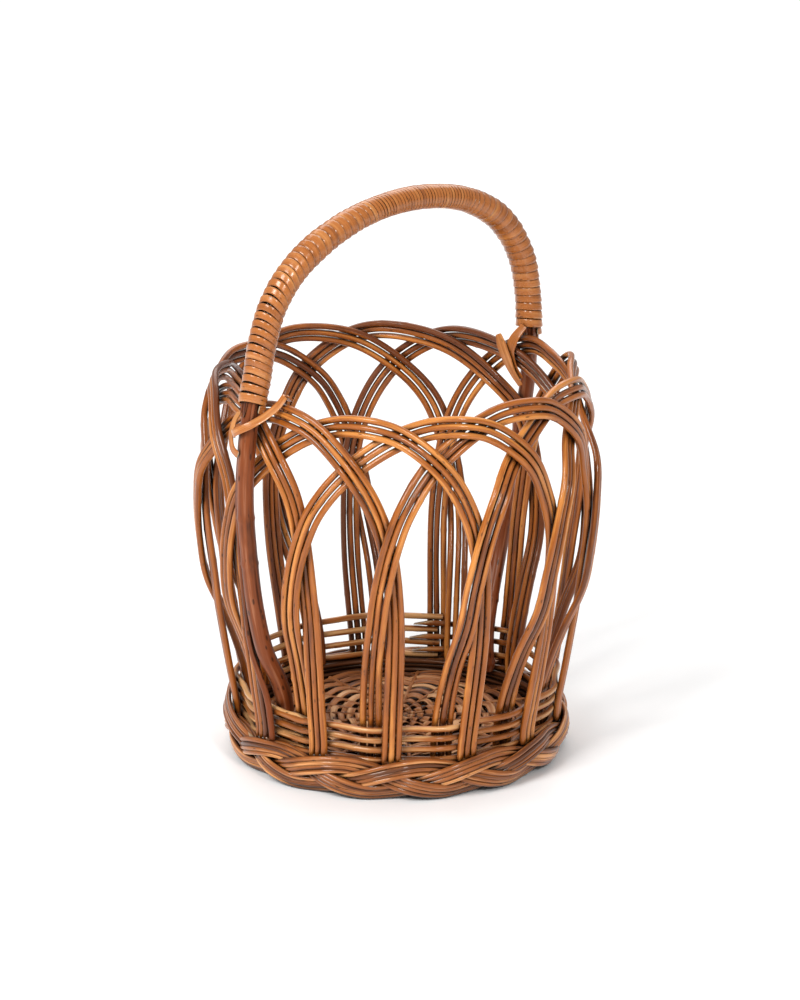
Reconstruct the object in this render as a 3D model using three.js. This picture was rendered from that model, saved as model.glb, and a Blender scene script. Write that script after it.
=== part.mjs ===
// Round willow storage basket: an open wall of looped rods, a woven foot and a cane-wrapped hoop handle.
// Millimetres, +Z up. The origin is on the floor, under the middle of the basket.
import * as THREE from 'three';

// Driving dimensions
const ARCH_COUNT = 13; // loops round the wall, each of three rods
const FIRST_FOOT_ANGLE = -36.4; // degrees from the front (-Y) towards +X, inside foot of the first loop
const CROWDING = 3.4; // degrees by which the loops crowd together round one side of the wall
const CROWDING_TURN = 253; // where they are moved on the most, degrees like the first foot's
const FOOT_WALL_RADIUS = 93; // wall surface at the foot
const BULGE_RADIUS = 115.7; // wall surface where it is widest
const BULGE_HEIGHT = 157;
const RIM_RADIUS = 103.5; // wall surface at the tops of the loops
const RIM_HEIGHT = 230;
const WALL_START_HEIGHT = 30; // the wall is upright below this
const FLARE = 1.35; // how late the wall flares out above it: a quarter sine to this power
const ROD_DIAMETER = 3.6;
const WEAVER_DIAMETER = 3.4;
const WEAVER_ROWS = 4;
const WEAVER_PITCH = 6.2; // from row to row at the front
const WEAVER_PITCH_BACK = 8; // the rows stand further apart at the back
const WEAVER_WAVE = 1.3; // how far a row bows out over each inside foot
const CLEARANCE = 0.3; // between pieces that touch
const FOOT_TILT = 0.2; // how far the low edge of a leaning rod's end lies below its middle
const FOOT_LEAN = 0.35; // how far a foot leans out where it passes the plait's upper edge
const CROSSING_SLACK = 1.2; // free space between two rods that cross
const WEAVER_EASE = 0.15; // extra room between the weavers and the feet outside them
const SPREAD_EASE = 0.8; // extra room between the weavers and the spread feet inside them
const BEND_FROM = 0.42; // share of the wall's height from which the loops differ from each other

// Foot border and base
const BORDER_HEIGHT = 21.5; // of the seat on which the wall and the weavers stand
const LIP_RISE = 5; // how far the plait's upper edge stands above that seat, outside the rods' feet
const LIP_DIP = 0.2; // what is left of that rise between two strands
const STRAND_RELIEF = 2.6; // how deep the plait's face lies between its strands
const STRAND_START = 0.845; // where a strand comes up from the plait's middle, in loops from the first foot
const STRAND_RUN = 0.75; // how far round it runs from there to the plait's edge, in loops
const BORDER_OUTSIDE = 10.5; // how far the plait reaches out from the foot of the wall
const BORDER_INSIDE = 5.5; // how far it reaches in
const BASE_LEVEL = 13.2; // middle of the base's thickness at its rim
const BASE_THICKNESS = 3.6;
const BASE_CROWN = 2.4; // how far the middle of the base stands above its rim
const BASE_FLAT = 0.45; // share of the base's radius that is flat at the middle
const BASE_RIDGES = 8; // rings on the upper face, one for every two strips of the weave
const BASE_RIDGE_HEIGHT = 1.4;

// Handle
const HANDLE_HEIGHT = 329; // middle of the hoop at its crown
const POST_DIAMETER = 9.6;
const CORE_DIAMETER = 13; // hoop and its packing rods under the cane
const SIDE_ROD_DIAMETER = 3.6;
const CANE_THICKNESS = 1.1;
const CANE_WIDTH = 3.6; // of the straps that tie the posts
const WRAP_LOOPS = 24;
const WRAP_CLEARANCE = 0.5; // the cane is stiff and leaves the core a little in each bend
const WRAP_SLOT = 0.9; // gap between one loop of the wrap and the next
const WRAP_DROP_LEFT = 1; // how far below the rim the wrap ends on the left post
const WRAP_LIFT_RIGHT = 4; // how far above the rim it ends on the right post
const SWELL_LENGTH = 10.5; // length over which the hoop thickens below the wrap

// Facets
const ROD_SIDES = 5;
const ROD_STEPS = 26;
const WEAVER_STEPS = 4 * ARCH_COUNT;
const HOOP_SIDES = 8;
const HOOP_STEPS = 72;
const HOOP_SEARCH_STEPS = 1000; // for the places where the wrap ends
const SIDE_ROD_STEPS = 14;
const STRAP_STEPS_PER_ROW = 2;
const WRAP_STEPS_PER_LOOP = 16;
const BORDER_STEPS = 4 * ARCH_COUNT;
const BASE_STEPS = BORDER_STEPS / 2; // the rim's corners stand at every second corner of the border
const SLOPE_STEP = 0.01; // half the height over which the wall's slope is measured

const FRONT_ROD = { color: 0xb8692f, roughness: 0.42 };
const WEAVER_ROD = { color: 0xae6a34, roughness: 0.45 };
const BARK_ROD = { color: 0x84411f, roughness: 0.5 };
const CANE = { color: 0xc98a4b, roughness: 0.32 };
const PLAIT = { color: 0xa85c2a, roughness: 0.45 };
const BASE_FIELD = { color: 0x9a5a2e, roughness: 0.55 };

const UP = new THREE.Vector3(0, 0, 1);
const LOOP_ANGLE = 360 / ARCH_COUNT;
const FIRST_WEAVER_HEIGHT = BORDER_HEIGHT + CLEARANCE + WEAVER_DIAMETER / 2;
const FOOT_END = BORDER_HEIGHT + CLEARANCE + FOOT_TILT;
const BORDER_OUTER_RADIUS = FOOT_WALL_RADIUS + BORDER_OUTSIDE;
const BORDER_INNER_RADIUS = FOOT_WALL_RADIUS - BORDER_INSIDE;

const object = new THREE.Group();

function addPiece(name, geometry, finish) {
  const material = new THREE.MeshStandardMaterial({ ...finish, metalness: 0 });
  const mesh = new THREE.Mesh(geometry, material);
  mesh.name = name;
  object.add(mesh);
}

// Point at an angle from the front, a distance from the axis and a height. The angle is moved on
// where the loops crowd together.
function onWall(degrees, radius, height) {
  const crowded = CROWDING * Math.cos(THREE.MathUtils.degToRad(degrees - CROWDING_TURN));
  const angle = THREE.MathUtils.degToRad(degrees + crowded);
  return new THREE.Vector3(radius * Math.sin(angle), -radius * Math.cos(angle), height);
}

// Wall surface radius: a late quarter sine up to the bulge, then a parabola in to the rim
function wallRadius(height) {
  if (height > BULGE_HEIGHT) {
    const rise = (height - BULGE_HEIGHT) / (RIM_HEIGHT - BULGE_HEIGHT);
    return BULGE_RADIUS - (BULGE_RADIUS - RIM_RADIUS) * rise * rise;
  }
  const rise = Math.max(0, (height - WALL_START_HEIGHT) / (BULGE_HEIGHT - WALL_START_HEIGHT));
  const flare = Math.sin((Math.PI / 2) * rise) ** FLARE;
  return FOOT_WALL_RADIUS + (BULGE_RADIUS - FOOT_WALL_RADIUS) * flare;
}

// Height at a share of the wall: 0 at the rods' feet and 1 at the rim
function wallHeight(share) {
  return THREE.MathUtils.lerp(FOOT_END, RIM_HEIGHT, share);
}

// Point that stands off the wall surface, square to it, at an angle and a height of that surface
function offWall(degrees, height, standOff) {
  const slope = (wallRadius(height + SLOPE_STEP) - wallRadius(height - SLOPE_STEP)) / (2 * SLOPE_STEP);
  const outward = new THREE.Vector2(1, -slope).normalize().multiplyScalar(standOff);
  return onWall(degrees, wallRadius(height) + outward.x, height + outward.y);
}

// A path whose own parameter is used as it is, so that rods side by side get their steps side by side
class Path extends THREE.Curve {
  constructor(pointAt) {
    super();
    this.pointAt = pointAt;
  }

  getPoint(t) {
    return this.pointAt(t);
  }

  getPointAt(t) {
    return this.pointAt(t);
  }

  getTangentAt(t) {
    return this.getTangent(t);
  }
}

function roundSection(diameter, sides) {
  const points = [];
  for (let i = 0; i < sides; i += 1) {
    const angle = (2 * Math.PI * i) / sides;
    points.push(new THREE.Vector2(Math.cos(angle), Math.sin(angle)).multiplyScalar(diameter / 2));
  }
  return new THREE.Shape(points);
}

function rod(pointAt, diameter, steps, sides = ROD_SIDES) {
  const section = roundSection(diameter, sides);
  return new THREE.ExtrudeGeometry(section, { steps, extrudePath: new Path(pointAt), bevelEnabled: false });
}

// How far a rod's middle line stands off the wall surface: where it crosses another rod, and at
// the feet inside and outside the weavers
const LAYER = (ROD_DIAMETER + CROSSING_SLACK) / 2;
const IN = -(ROD_DIAMETER + WEAVER_DIAMETER) / 2 - SPREAD_EASE;
const OUT = (ROD_DIAMETER + WEAVER_DIAMETER) / 2 + WEAVER_EASE;
const FOOT_OUT = 1.04 * OUT;

// Course of a loop from its inside foot to its outside foot. Each row: degrees on from the inside
// foot, share of the wall's height, stand-off, and distance between the loop's three rods as a
// share of their diameter.
const LOOP_COURSE = [
  [-0.8, 0, 0.88 * IN, 1.42],
  [-0.2, 0.14, IN, 1.4],
  [1.2, 0.279, -LAYER, 1.26],
  [3.2, 0.413, LAYER, 1.18],
  [5, 0.53, LAYER, 1.16],
  [8.2, 0.655, LAYER, 1.16],
  [12.6, 0.76, LAYER, 1.17],
  [20.1, 0.856, -LAYER, 1.18],
  [32.5, 0.939, -LAYER, 1.19],
  [45.8, 0.981, -LAYER, 1.19],
  [58.8, 0.979, LAYER, 1.18],
  [69, 0.946, LAYER, 1.18],
  [79, 0.868, LAYER, 1.16],
  [86.2, 0.763, -0.75 * LAYER, 1.13],
  [90.4, 0.63, -LAYER, 1.11],
  [92, 0.462, -LAYER, 1.1],
  [92.1, 0.308, 0.25 * LAYER, 1.1],
  [91.3, 0.14, OUT, 1.1],
  [90.6, 0, FOOT_OUT, 1.1],
];
const loopCourse = new THREE.CatmullRomCurve3(
  LOOP_COURSE.map(([turn, share, standOff]) => new THREE.Vector3(turn, wallHeight(share), standOff)),
  false,
  'catmullrom',
  0.5,
);

// Distance between the rods of a loop, taken from the course table
function rodSpacing(t) {
  const place = t * (LOOP_COURSE.length - 1);
  const row = Math.min(Math.floor(place), LOOP_COURSE.length - 2);
  return ROD_DIAMETER * THREE.MathUtils.lerp(LOOP_COURSE[row][3], LOOP_COURSE[row + 1][3], place - row);
}

// No two loops bent by hand are the same. Each row: how much higher the loop stands at its top than
// the course, and how many degrees further on.
const LOOP_BENDS = [
  [-3.4, 1.4],
  [0.4, 0],
  [0.6, 0],
  [2.2, 0.5],
  [1.1, -0.5],
  [-0.5, 0.4],
  [1.8, -1.4],
  [4.5, -0.2],
  [1.1, -0.6],
  [0.8, 0],
  [0.3, 1.4],
  [-1, -1.2],
  [-2.7, -0.2],
];

// Point on one rod of a loop: side is 1 for the outer rod, 0 for the middle one and -1 for the inner one
function loopPoint(loop, side, t) {
  const footAngle = FIRST_FOOT_ANGLE + LOOP_ANGLE * loop;
  const here = loopCourse.getPoint(t);
  const along = loopCourse.getTangent(t);
  const radius = wallRadius(here.y);
  const run = THREE.MathUtils.degToRad(along.x) * radius;
  const slant = new THREE.Vector2(-along.y, run).normalize();
  const shift = slant.multiplyScalar(side * rodSpacing(t));
  const [lift, turn] = LOOP_BENDS[loop % LOOP_BENDS.length];
  const rise = THREE.MathUtils.smoothstep(here.y, wallHeight(BEND_FROM), RIM_HEIGHT);
  const height = here.y + shift.y + lift * rise;
  const degrees = footAngle + here.x + turn * rise + THREE.MathUtils.radToDeg(shift.x / radius);
  return offWall(degrees, height, here.z);
}

const RODS_OF_LOOP = [['outer', 1], ['middle', 0], ['inner', -1]];
for (let loop = 0; loop < ARCH_COUNT; loop += 1) {
  const number = String(loop + 1).padStart(2, '0');
  for (const [place, side] of RODS_OF_LOOP) {
    const geometry = rod((t) => loopPoint(loop, side, t), ROD_DIAMETER, ROD_STEPS);
    addPiece(`loop_${number}_${place}_rod`, geometry, FRONT_ROD);
  }
}

// Weavers: closed rings that pass outside each inside foot and inside each outside foot
function weaverPoint(row, t) {
  const degrees = 360 * t;
  const phase = THREE.MathUtils.degToRad(ARCH_COUNT * (degrees - FIRST_FOOT_ANGLE));
  const behind = (1 - Math.cos(2 * Math.PI * t)) / 2;
  const pitch = THREE.MathUtils.lerp(WEAVER_PITCH, WEAVER_PITCH_BACK, behind);
  return offWall(degrees, FIRST_WEAVER_HEIGHT + pitch * row, WEAVER_WAVE * Math.cos(phase));
}

// A closed ring of quads through the sections, or an open one with flat ends
function loft(sections, closed = false) {
  const sides = sections[0].length;
  const positions = sections.flat().flatMap((point) => point.toArray());
  const faces = [];
  const last = closed ? sections.length : sections.length - 1;
  for (let i = 0; i < last; i += 1) {
    const next = ((i + 1) % sections.length) * sides;
    for (let j = 0; j < sides; j += 1) {
      const k = (j + 1) % sides;
      faces.push(i * sides + j, i * sides + k, next + k);
      faces.push(i * sides + j, next + k, next + j);
    }
  }
  if (!closed) {
    const end = (sections.length - 1) * sides;
    for (let j = 1; j < sides - 1; j += 1) {
      faces.push(0, j + 1, j);
      faces.push(end, end + j, end + j + 1);
    }
  }
  const geometry = new THREE.BufferGeometry();
  geometry.setAttribute('position', new THREE.Float32BufferAttribute(positions, 3));
  geometry.setIndex(faces);
  geometry.computeVertexNormals();
  return geometry;
}

// Round section of a tube: side and up are unit vectors square to its run
function roundRing(centre, side, up, radius, sides) {
  const ring = [];
  for (let i = 0; i < sides; i += 1) {
    const angle = (2 * Math.PI * i) / sides;
    const point = centre.clone().addScaledVector(side, radius * Math.cos(angle));
    ring.push(point.addScaledVector(up, radius * Math.sin(angle)));
  }
  return ring;
}

for (let row = 0; row < WEAVER_ROWS; row += 1) {
  const sections = [];
  for (let i = 0; i < WEAVER_STEPS; i += 1) {
    const centre = weaverPoint(row, i / WEAVER_STEPS);
    const outward = centre.clone().setZ(0).normalize();
    sections.push(roundRing(centre, UP, outward, WEAVER_DIAMETER / 2, ROD_SIDES));
  }
  addPiece(`weaver_row_${row + 1}`, loft(sections, true), WEAVER_ROD);
}

// Handle hoop. The posts are rows of degrees on from the first inside foot, share of the wall's
// height, and stand-off from the wall as a share of POST_REACH: each foot stands inside the
// weavers, and the post comes out between two loops to run up the outside of the wall.
const POST_REACH = POST_DIAMETER / 2 + LAYER;
const LEFT_POST = [
  [-15.6, 0, -1.17],
  [-15.1, 0.102, -1.25],
  [-13.6, 0.172, -0.93],
  [-11.6, 0.294, 0.08],
  [-10.2, 0.441, 0.46],
  [-9.4, 0.607, 0.7],
  [-9, 0.746, 1.19],
  [-9.1, 0.869, 1.48],
  [-9.8, 0.983, 1.65],
];
const RIGHT_POST = [
  [173.9, 0.997, 1.58],
  [176.4, 0.875, 1.42],
  [180, 0.7, 1.15],
  [182.3, 0.515, 0.85],
  [182.4, 0.345, 0.37],
  [180.5, 0.197, -0.65],
  [178.4, 0.102, -1.25],
  [177.4, 0, -1.17],
];
// Arch of the hoop over the basket: share of the way from the left post to the right one, and
// share of the way from the rim up to the hoop's crown
const HOOP_ARCH = [
  [0.02, 0.17],
  [0.036, 0.337],
  [0.078, 0.564],
  [0.16, 0.757],
  [0.3, 0.915],
  [0.45, 0.993],
  [0.61, 0.998],
  [0.765, 0.923],
  [0.885, 0.767],
  [0.963, 0.53],
  [0.993, 0.275],
];
function besideWall([degrees, share, reach]) {
  return offWall(FIRST_FOOT_ANGLE + degrees, wallHeight(share), reach * POST_REACH);
}
const leftTop = besideWall(LEFT_POST[LEFT_POST.length - 1]);
const rightTop = besideWall(RIGHT_POST[0]);
const archPoint = ([part, share]) => leftTop
  .clone()
  .lerp(rightTop, part)
  .setZ(THREE.MathUtils.lerp(RIM_HEIGHT, HANDLE_HEIGHT, share));
const hoopCourse = new THREE.CatmullRomCurve3([
  ...LEFT_POST.map(besideWall),
  ...HOOP_ARCH.map(archPoint),
  ...RIGHT_POST.map(besideWall),
]);
const hoopAcross = rightTop.clone().sub(leftTop).setZ(0).normalize();
const hoopSide = new THREE.Vector3(hoopAcross.y, -hoopAcross.x, 0);

// Part of the hoop's length, from the left foot, at which it first stands at a height on its way up
function partAtHeight(height, fromEnd) {
  for (let i = 0; i < HOOP_SEARCH_STEPS; i += 1) {
    const part = fromEnd ? 1 - i / HOOP_SEARCH_STEPS : i / HOOP_SEARCH_STEPS;
    if (hoopCourse.getPointAt(part).z > height) return part;
  }
  return 0;
}
const wrapStart = partAtHeight(RIM_HEIGHT - WRAP_DROP_LEFT, false);
const wrapEnd = partAtHeight(RIM_HEIGHT + WRAP_LIFT_RIGHT, true);

// Frame of the hoop at a part of its length: its run, the side square to the hoop's plane, and outward
function hoopFrame(part) {
  const run = hoopCourse.getTangentAt(part);
  const side = hoopSide.clone().addScaledVector(run, -hoopSide.dot(run)).normalize();
  const out = new THREE.Vector3().crossVectors(run, side);
  return { centre: hoopCourse.getPointAt(part), run, side, out };
}

// The hoop is thicker under the cane, where packing rods lie beside it
function hoopRadius(part) {
  const beyond = Math.min(part - wrapStart, wrapEnd - part) * hoopCourse.getLength();
  const grown = THREE.MathUtils.smoothstep(beyond, -SWELL_LENGTH, 0);
  return THREE.MathUtils.lerp(POST_DIAMETER, CORE_DIAMETER, grown) / 2;
}

const hoopSections = [];
for (let i = 0; i <= HOOP_STEPS; i += 1) {
  const part = i / HOOP_STEPS;
  const { centre, side, out } = hoopFrame(part);
  hoopSections.push(roundRing(centre, side, out, hoopRadius(part), HOOP_SIDES));
}
addPiece('handle_hoop', loft(hoopSections), BARK_ROD);

const SIDE_ROD = [
  [-13.7, 0, 0.52],
  [-13.9, 0.137, 0.53],
  [-15.6, 0.299, 0.63],
  [-14.1, 0.442, 0.55],
  [-13.2, 0.607, 0.61],
  [-12.7, 0.747, 1.01],
  [-12.6, 0.87, 1.3],
  [-12.9, 0.943, 1.43],
];
const sideRodCourse = new THREE.CatmullRomCurve3(SIDE_ROD.map(besideWall));
const sideRod = rod((t) => sideRodCourse.getPoint(t), SIDE_ROD_DIAMETER, SIDE_ROD_STEPS);
addPiece('handle_side_rod', sideRod, BARK_ROD);

// Wrap: one flat strip of cane in a helix round the thick part of the hoop. A loop of the solid
// stands for several turns of the narrow cane, so the strip is as wide as its pitch less a slot.
const wrapLength = (wrapEnd - wrapStart) * hoopCourse.getLength();
const wrapPitch = (wrapLength + WRAP_SLOT) / (WRAP_LOOPS + 1);
const stripHalf = (wrapPitch - WRAP_SLOT) / 2 / hoopCourse.getLength();
const wrapInner = (CORE_DIAMETER / 2 + WRAP_CLEARANCE) / Math.cos(Math.PI / WRAP_STEPS_PER_LOOP);
const wrapOuter = wrapInner + CANE_THICKNESS;
const wrapSections = [];
const wrapSteps = WRAP_LOOPS * WRAP_STEPS_PER_LOOP;
for (let i = 0; i <= wrapSteps; i += 1) {
  const angle = (2 * Math.PI * i) / WRAP_STEPS_PER_LOOP;
  const part = THREE.MathUtils.lerp(wrapStart + stripHalf, wrapEnd - stripHalf, i / wrapSteps);
  const corner = (edge, radius) => {
    const { centre, side, out } = hoopFrame(part + edge * stripHalf);
    centre.addScaledVector(side, radius * Math.cos(angle));
    return centre.addScaledVector(out, radius * Math.sin(angle));
  };
  const inside = [corner(-1, wrapInner), corner(1, wrapInner)];
  wrapSections.push([...inside, corner(1, wrapOuter), corner(-1, wrapOuter)]);
}
addPiece('handle_cane_wrap', loft(wrapSections), CANE);

let leastWrapGap = Infinity;
for (let i = 0; i + WRAP_STEPS_PER_LOOP <= wrapSteps; i += 1) {
  const [, upperEdge] = wrapSections[i];
  const [lowerEdge] = wrapSections[i + WRAP_STEPS_PER_LOOP];
  leastWrapGap = Math.min(leastWrapGap, upperEdge.distanceTo(lowerEdge));
}
console.log(`least gap between loops of the cane wrap: ${leastWrapGap.toFixed(2)} mm`);

// Flat strap through rows like those of the posts, lying flat against the wall
function strap(rows, width) {
  const course = new THREE.CatmullRomCurve3(rows.map(besideWall));
  const steps = STRAP_STEPS_PER_ROW * (rows.length - 1);
  const sections = [];
  for (let i = 0; i <= steps; i += 1) {
    const centre = course.getPoint(i / steps);
    const run = course.getTangent(i / steps);
    const outward = centre.clone().setZ(0).normalize();
    const across = new THREE.Vector3().crossVectors(run, outward).normalize();
    const face = new THREE.Vector3().crossVectors(across, run);
    const corner = (a, b) => centre
      .clone()
      .addScaledVector(across, (a * width) / 2)
      .addScaledVector(face, (b * CANE_THICKNESS) / 2);
    sections.push([corner(-1, 1), corner(1, 1), corner(1, -1), corner(-1, -1)]);
  }
  return loft(sections);
}

const TIES = {
  tie_left_long: [
    [-13.1, 0.908, 2.03],
    [-11.7, 0.911, 2.54],
    [-9, 0.923, 2.77],
    [-6.1, 0.942, 2.39],
    [-4.1, 0.969, 1.5],
    [-2.3, 1.001, 0.78],
    [-1.7, 1.025, 0.31],
    [-1.5, 1.018, -0.42],
  ],
  tie_left_short: [
    [-15.8, 0.961, 1.35],
    [-15.4, 0.936, 1.74],
    [-14, 0.898, 2.08],
    [-11.8, 0.873, 2.28],
    [-9.5, 0.862, 2.3],
  ],
  tie_right_upright: [
    [171.6, 1.035, 0.6],
    [173.6, 1.008, -0.4],
    [175, 0.972, -0.85],
    [174.2, 0.934, -1.04],
    [171.8, 0.893, -0.97],
  ],
  tie_right_slant: [
    [179.6, 1.017, -0.53],
    [178, 0.992, -0.88],
    [176, 0.963, -1.2],
    [173.6, 0.917, -1.36],
    [171.2, 0.876, -1.26],
  ],
};
for (const [name, rows] of Object.entries(TIES)) addPiece(name, strap(rows, CANE_WIDTH), CANE);

// Base field: a crowned round with ring-shaped ridges on its upper face
const BASE_RADIUS = BORDER_INNER_RADIUS - CLEARANCE;
function basePoint(share, standOff) {
  const crown = BASE_CROWN * (1 - THREE.MathUtils.smoothstep(share, BASE_FLAT, 1));
  return new THREE.Vector2(BASE_RADIUS * share, BASE_LEVEL + crown + standOff);
}
const baseProfile = [0, BASE_FLAT, 1].map((share) => basePoint(share, -BASE_THICKNESS / 2));
for (let i = 2 * BASE_RIDGES; i >= 0; i -= 1) {
  const ridge = i % 2 === 1 ? BASE_RIDGE_HEIGHT : 0;
  baseProfile.push(basePoint(i / (2 * BASE_RIDGES), BASE_THICKNESS / 2 + ridge));
}
const base = new THREE.LatheGeometry(baseProfile, BASE_STEPS);
addPiece('base_field', base.rotateX(Math.PI / 2), BASE_FIELD);

// Foot border: the plait's outer shape on a flat underside. Its upper edge is a lip round the rods'
// feet, and they stand on the seat inside it. In the upper half of its face one strand for each loop
// rises from the middle to the edge, and in the lower half one sinks, half a loop further on.
const FACET_SHARE = Math.cos(Math.PI / BORDER_STEPS); // how far the middle of a facet lies in
const FOOT_REACH = FOOT_WALL_RADIUS + FOOT_OUT + ROD_DIAMETER / 2 + FOOT_LEAN;
const LIP_SEAT_RADIUS = (FOOT_REACH + CLEARANCE) / FACET_SHARE;
const BORDER_MIDDLE = 0.5;

// The outer face from the floor up. Each row: share of the plait's height, share of the way from its
// inner radius to its outer one, and share of the strands' relief.
const BORDER_FACE = [
  [0, 0.68, 0.2],
  [0.12, 0.84, 0.7],
  [0.24, 0.93, 1],
  [0.37, 0.98, 1],
  [BORDER_MIDDLE, 1, 1],
  [0.63, 0.99, 1],
  [0.77, 0.97, 1],
  [0.89, 0.93, 0.6],
  [1, 0.88, 0.2],
];

// 1 on a strand, 0 midway between two
function hill(turn) {
  return (1 + Math.cos(2 * Math.PI * turn)) / 2;
}

// Depth of the face below the strands, as a share of the relief, at a place counted in loops
function valley(place, rise) {
  if (rise === BORDER_MIDDLE) return 0.5;
  const start = rise > BORDER_MIDDLE ? place : place + 0.5;
  return 1 - hill(start - (STRAND_RUN * Math.abs(rise - BORDER_MIDDLE)) / BORDER_MIDDLE);
}

function borderSection(radians) {
  const crowded = CROWDING * Math.cos(radians - THREE.MathUtils.degToRad(CROWDING_TURN));
  const degrees = THREE.MathUtils.radToDeg(radians) - crowded;
  const place = (degrees - FIRST_FOOT_ANGLE) / LOOP_ANGLE - STRAND_START;
  const lip = BORDER_HEIGHT + LIP_RISE * THREE.MathUtils.lerp(LIP_DIP, 1, hill(place - STRAND_RUN));
  const across = (share) => THREE.MathUtils.lerp(BORDER_INNER_RADIUS, BORDER_OUTER_RADIUS, share);
  const profile = [
    [across(0.15), 0],
    ...BORDER_FACE.map(([rise, out, relief]) => [
      across(out) - STRAND_RELIEF * relief * valley(place, rise),
      rise * lip,
    ]),
    [LIP_SEAT_RADIUS, lip - CLEARANCE],
    [LIP_SEAT_RADIUS, BORDER_HEIGHT],
    [across(0.2), BORDER_HEIGHT],
    [across(0), 0.8 * BORDER_HEIGHT],
    [across(0), 0.2 * BORDER_HEIGHT],
  ];
  return profile.map(([radius, height]) => new THREE.Vector3(
    radius * Math.sin(radians),
    -radius * Math.cos(radians),
    height,
  ));
}
const borderSections = [];
for (let i = BORDER_STEPS; i > 0; i -= 1) {
  borderSections.push(borderSection((2 * Math.PI * i) / BORDER_STEPS));
}
addPiece('foot_border_plait', loft(borderSections, true), PLAIT);

export default object;
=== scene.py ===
"""Looks of a round willow storage basket with a cane-wrapped hoop handle.

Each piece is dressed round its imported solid. Blender units are metres. The origin is on the floor
under the middle of the basket, angles run in degrees from the front (-Y) towards +X, and shares of
the wall's height run from the feet of the rods (0) to the tops of the loops (1).
"""

import logging
import math
from dataclasses import dataclass, field
from enum import Enum

import bpy
import numpy as np
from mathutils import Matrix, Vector


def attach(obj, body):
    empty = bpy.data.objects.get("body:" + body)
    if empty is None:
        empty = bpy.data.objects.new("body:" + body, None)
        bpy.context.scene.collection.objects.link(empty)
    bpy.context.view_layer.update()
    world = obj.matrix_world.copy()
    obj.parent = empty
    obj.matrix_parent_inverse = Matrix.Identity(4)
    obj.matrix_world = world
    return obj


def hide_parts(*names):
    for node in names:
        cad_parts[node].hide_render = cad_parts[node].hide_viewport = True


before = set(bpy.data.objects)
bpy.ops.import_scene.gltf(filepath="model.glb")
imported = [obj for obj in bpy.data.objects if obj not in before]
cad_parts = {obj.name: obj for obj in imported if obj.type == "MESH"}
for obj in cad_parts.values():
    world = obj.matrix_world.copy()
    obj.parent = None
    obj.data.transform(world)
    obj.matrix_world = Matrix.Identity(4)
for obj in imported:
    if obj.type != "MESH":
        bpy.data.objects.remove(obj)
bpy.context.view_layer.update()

LOG = logging.getLogger("basket")
BODY = "root"
MM = 0.001

# The loops of the wall
LOOPS = 13
LOOP_TURN = 360 / LOOPS
FIRST_FOOT = -36.4  # degrees at which the inside foot of the first one stands
CROWDING = 3.4  # degrees by which they crowd together round one side of the wall
CROWDING_TURN = 253.0  # degrees at which they are moved on the most

# The skin of a rod
ROD_SIDES = 12
THICKENING = 0.035  # share by which its thickness wanders
THICKENING_WAVE = 40 * MM
SCAR_SPACING = 70 * MM  # length on which one leaf scar lies
SCAR_HEIGHT = 0.09  # share by which a scar swells it
SCAR_LENGTH = 1.6 * MM
WORN = 0.14  # share by which the edge of a square end is worn round
WORN_LENGTH = 0.35 * MM
SLANT_TIP = -0.85  # where a slant cut starts, in half thicknesses from the middle
SLANT_RISE = 1.9  # and how far it rises
SHARP_ANGLE = math.radians(50)

# The grain of the finishes: waves per metre along, across and out
FIBRES = (60, 1500, 1500)
STREAKS = (14, 420, 420)
PATCHES = (38, 90, 90)
SPECKS = (90, 260, 260)
END_GRAIN = (20, 700, 700)

# How the finishes turn it into colour
TONE_SPAN = 0.9  # shade between the darkest strand and the lightest one
FULL_SHADE = 0.75  # shade at which the light colour is reached, or the dark one
FIBRE_SHADE = 0.3  # how strongly fibres show, beside streaks
SPECK_EDGE = 0.1  # softness of a speck
SPECK_STRENGTH = 0.75
SPECK_DARK = 0.3  # share of the dark colour that is left in a speck
SPECK_PIT = 0.8  # how deep it lies, beside the height of fibres
END_DARK = 0.55  # share of the colour that is left in the rings of a cut face
SHADE_OPENNESS = (0.36, 0.94)  # openness at the bottom of a gap and outside it, between which the painted shade fades in
SHADE_TINT = (1.0, 0.72, 0.55)  # colour of the painted shade in the gaps
GRAIN_HEIGHT = 0.8  # strength of the bump

Array = np.ndarray
Chance = np.random.Generator
Rows = tuple[tuple[float, ...], ...]
Pair = tuple[float, float]
Triple = tuple[float, float, float]
Colour = Triple
Socket = bpy.types.NodeSocket


class Section(Enum):
    """Cross-section of a strand."""

    ROUND = "whole rod"
    DOMED = "flat strip with a domed face"


class End(Enum):
    """How a strand ends."""

    SQUARE = "cut square, with its edge worn round"
    WHITTLED = "cut on a long slant"
    CLOSED = "joined to its own start"


def unit(vectors: Array) -> Array:
    """Scale each row to length one."""
    return vectors / np.maximum(np.linalg.norm(vectors, axis=-1, keepdims=True), 1e-12)


def smoothstep(value: Array, low: float, high: float) -> Array:
    """Smooth step from 0 at low to 1 at high."""
    share = np.clip((value - low) / (high - low), 0, 1)
    return share * share * (3 - 2 * share)


def table(position: Array, rows: Rows, column: int = 1) -> Array:
    """Read one column of a table of rows at positions in its first column, in straight lines."""
    return np.interp(position, [row[0] for row in rows], [row[column] for row in rows])


def hermite(knots: Array, tangents: tuple[Array, Array], place: Array) -> Array:
    """Cubic pieces between knots.

    Args:
        knots: Points of the curve, one per row.
        tangents: Slopes at the start and at the end of each piece.
        place: Positions on the curve, counted in knots.

    Returns:
        Points of the curve, one per position.
    """
    piece = np.minimum(place.astype(int), len(knots) - 2)
    t = (place - piece)[:, None]
    start, end = tangents[0][piece], tangents[1][piece]
    first, last = knots[piece], knots[piece + 1]
    bend = -3 * first + 3 * last - 2 * start - end
    twist = 2 * first - 2 * last + start + end
    return first + start * t + bend * t**2 + twist * t**3


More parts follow.
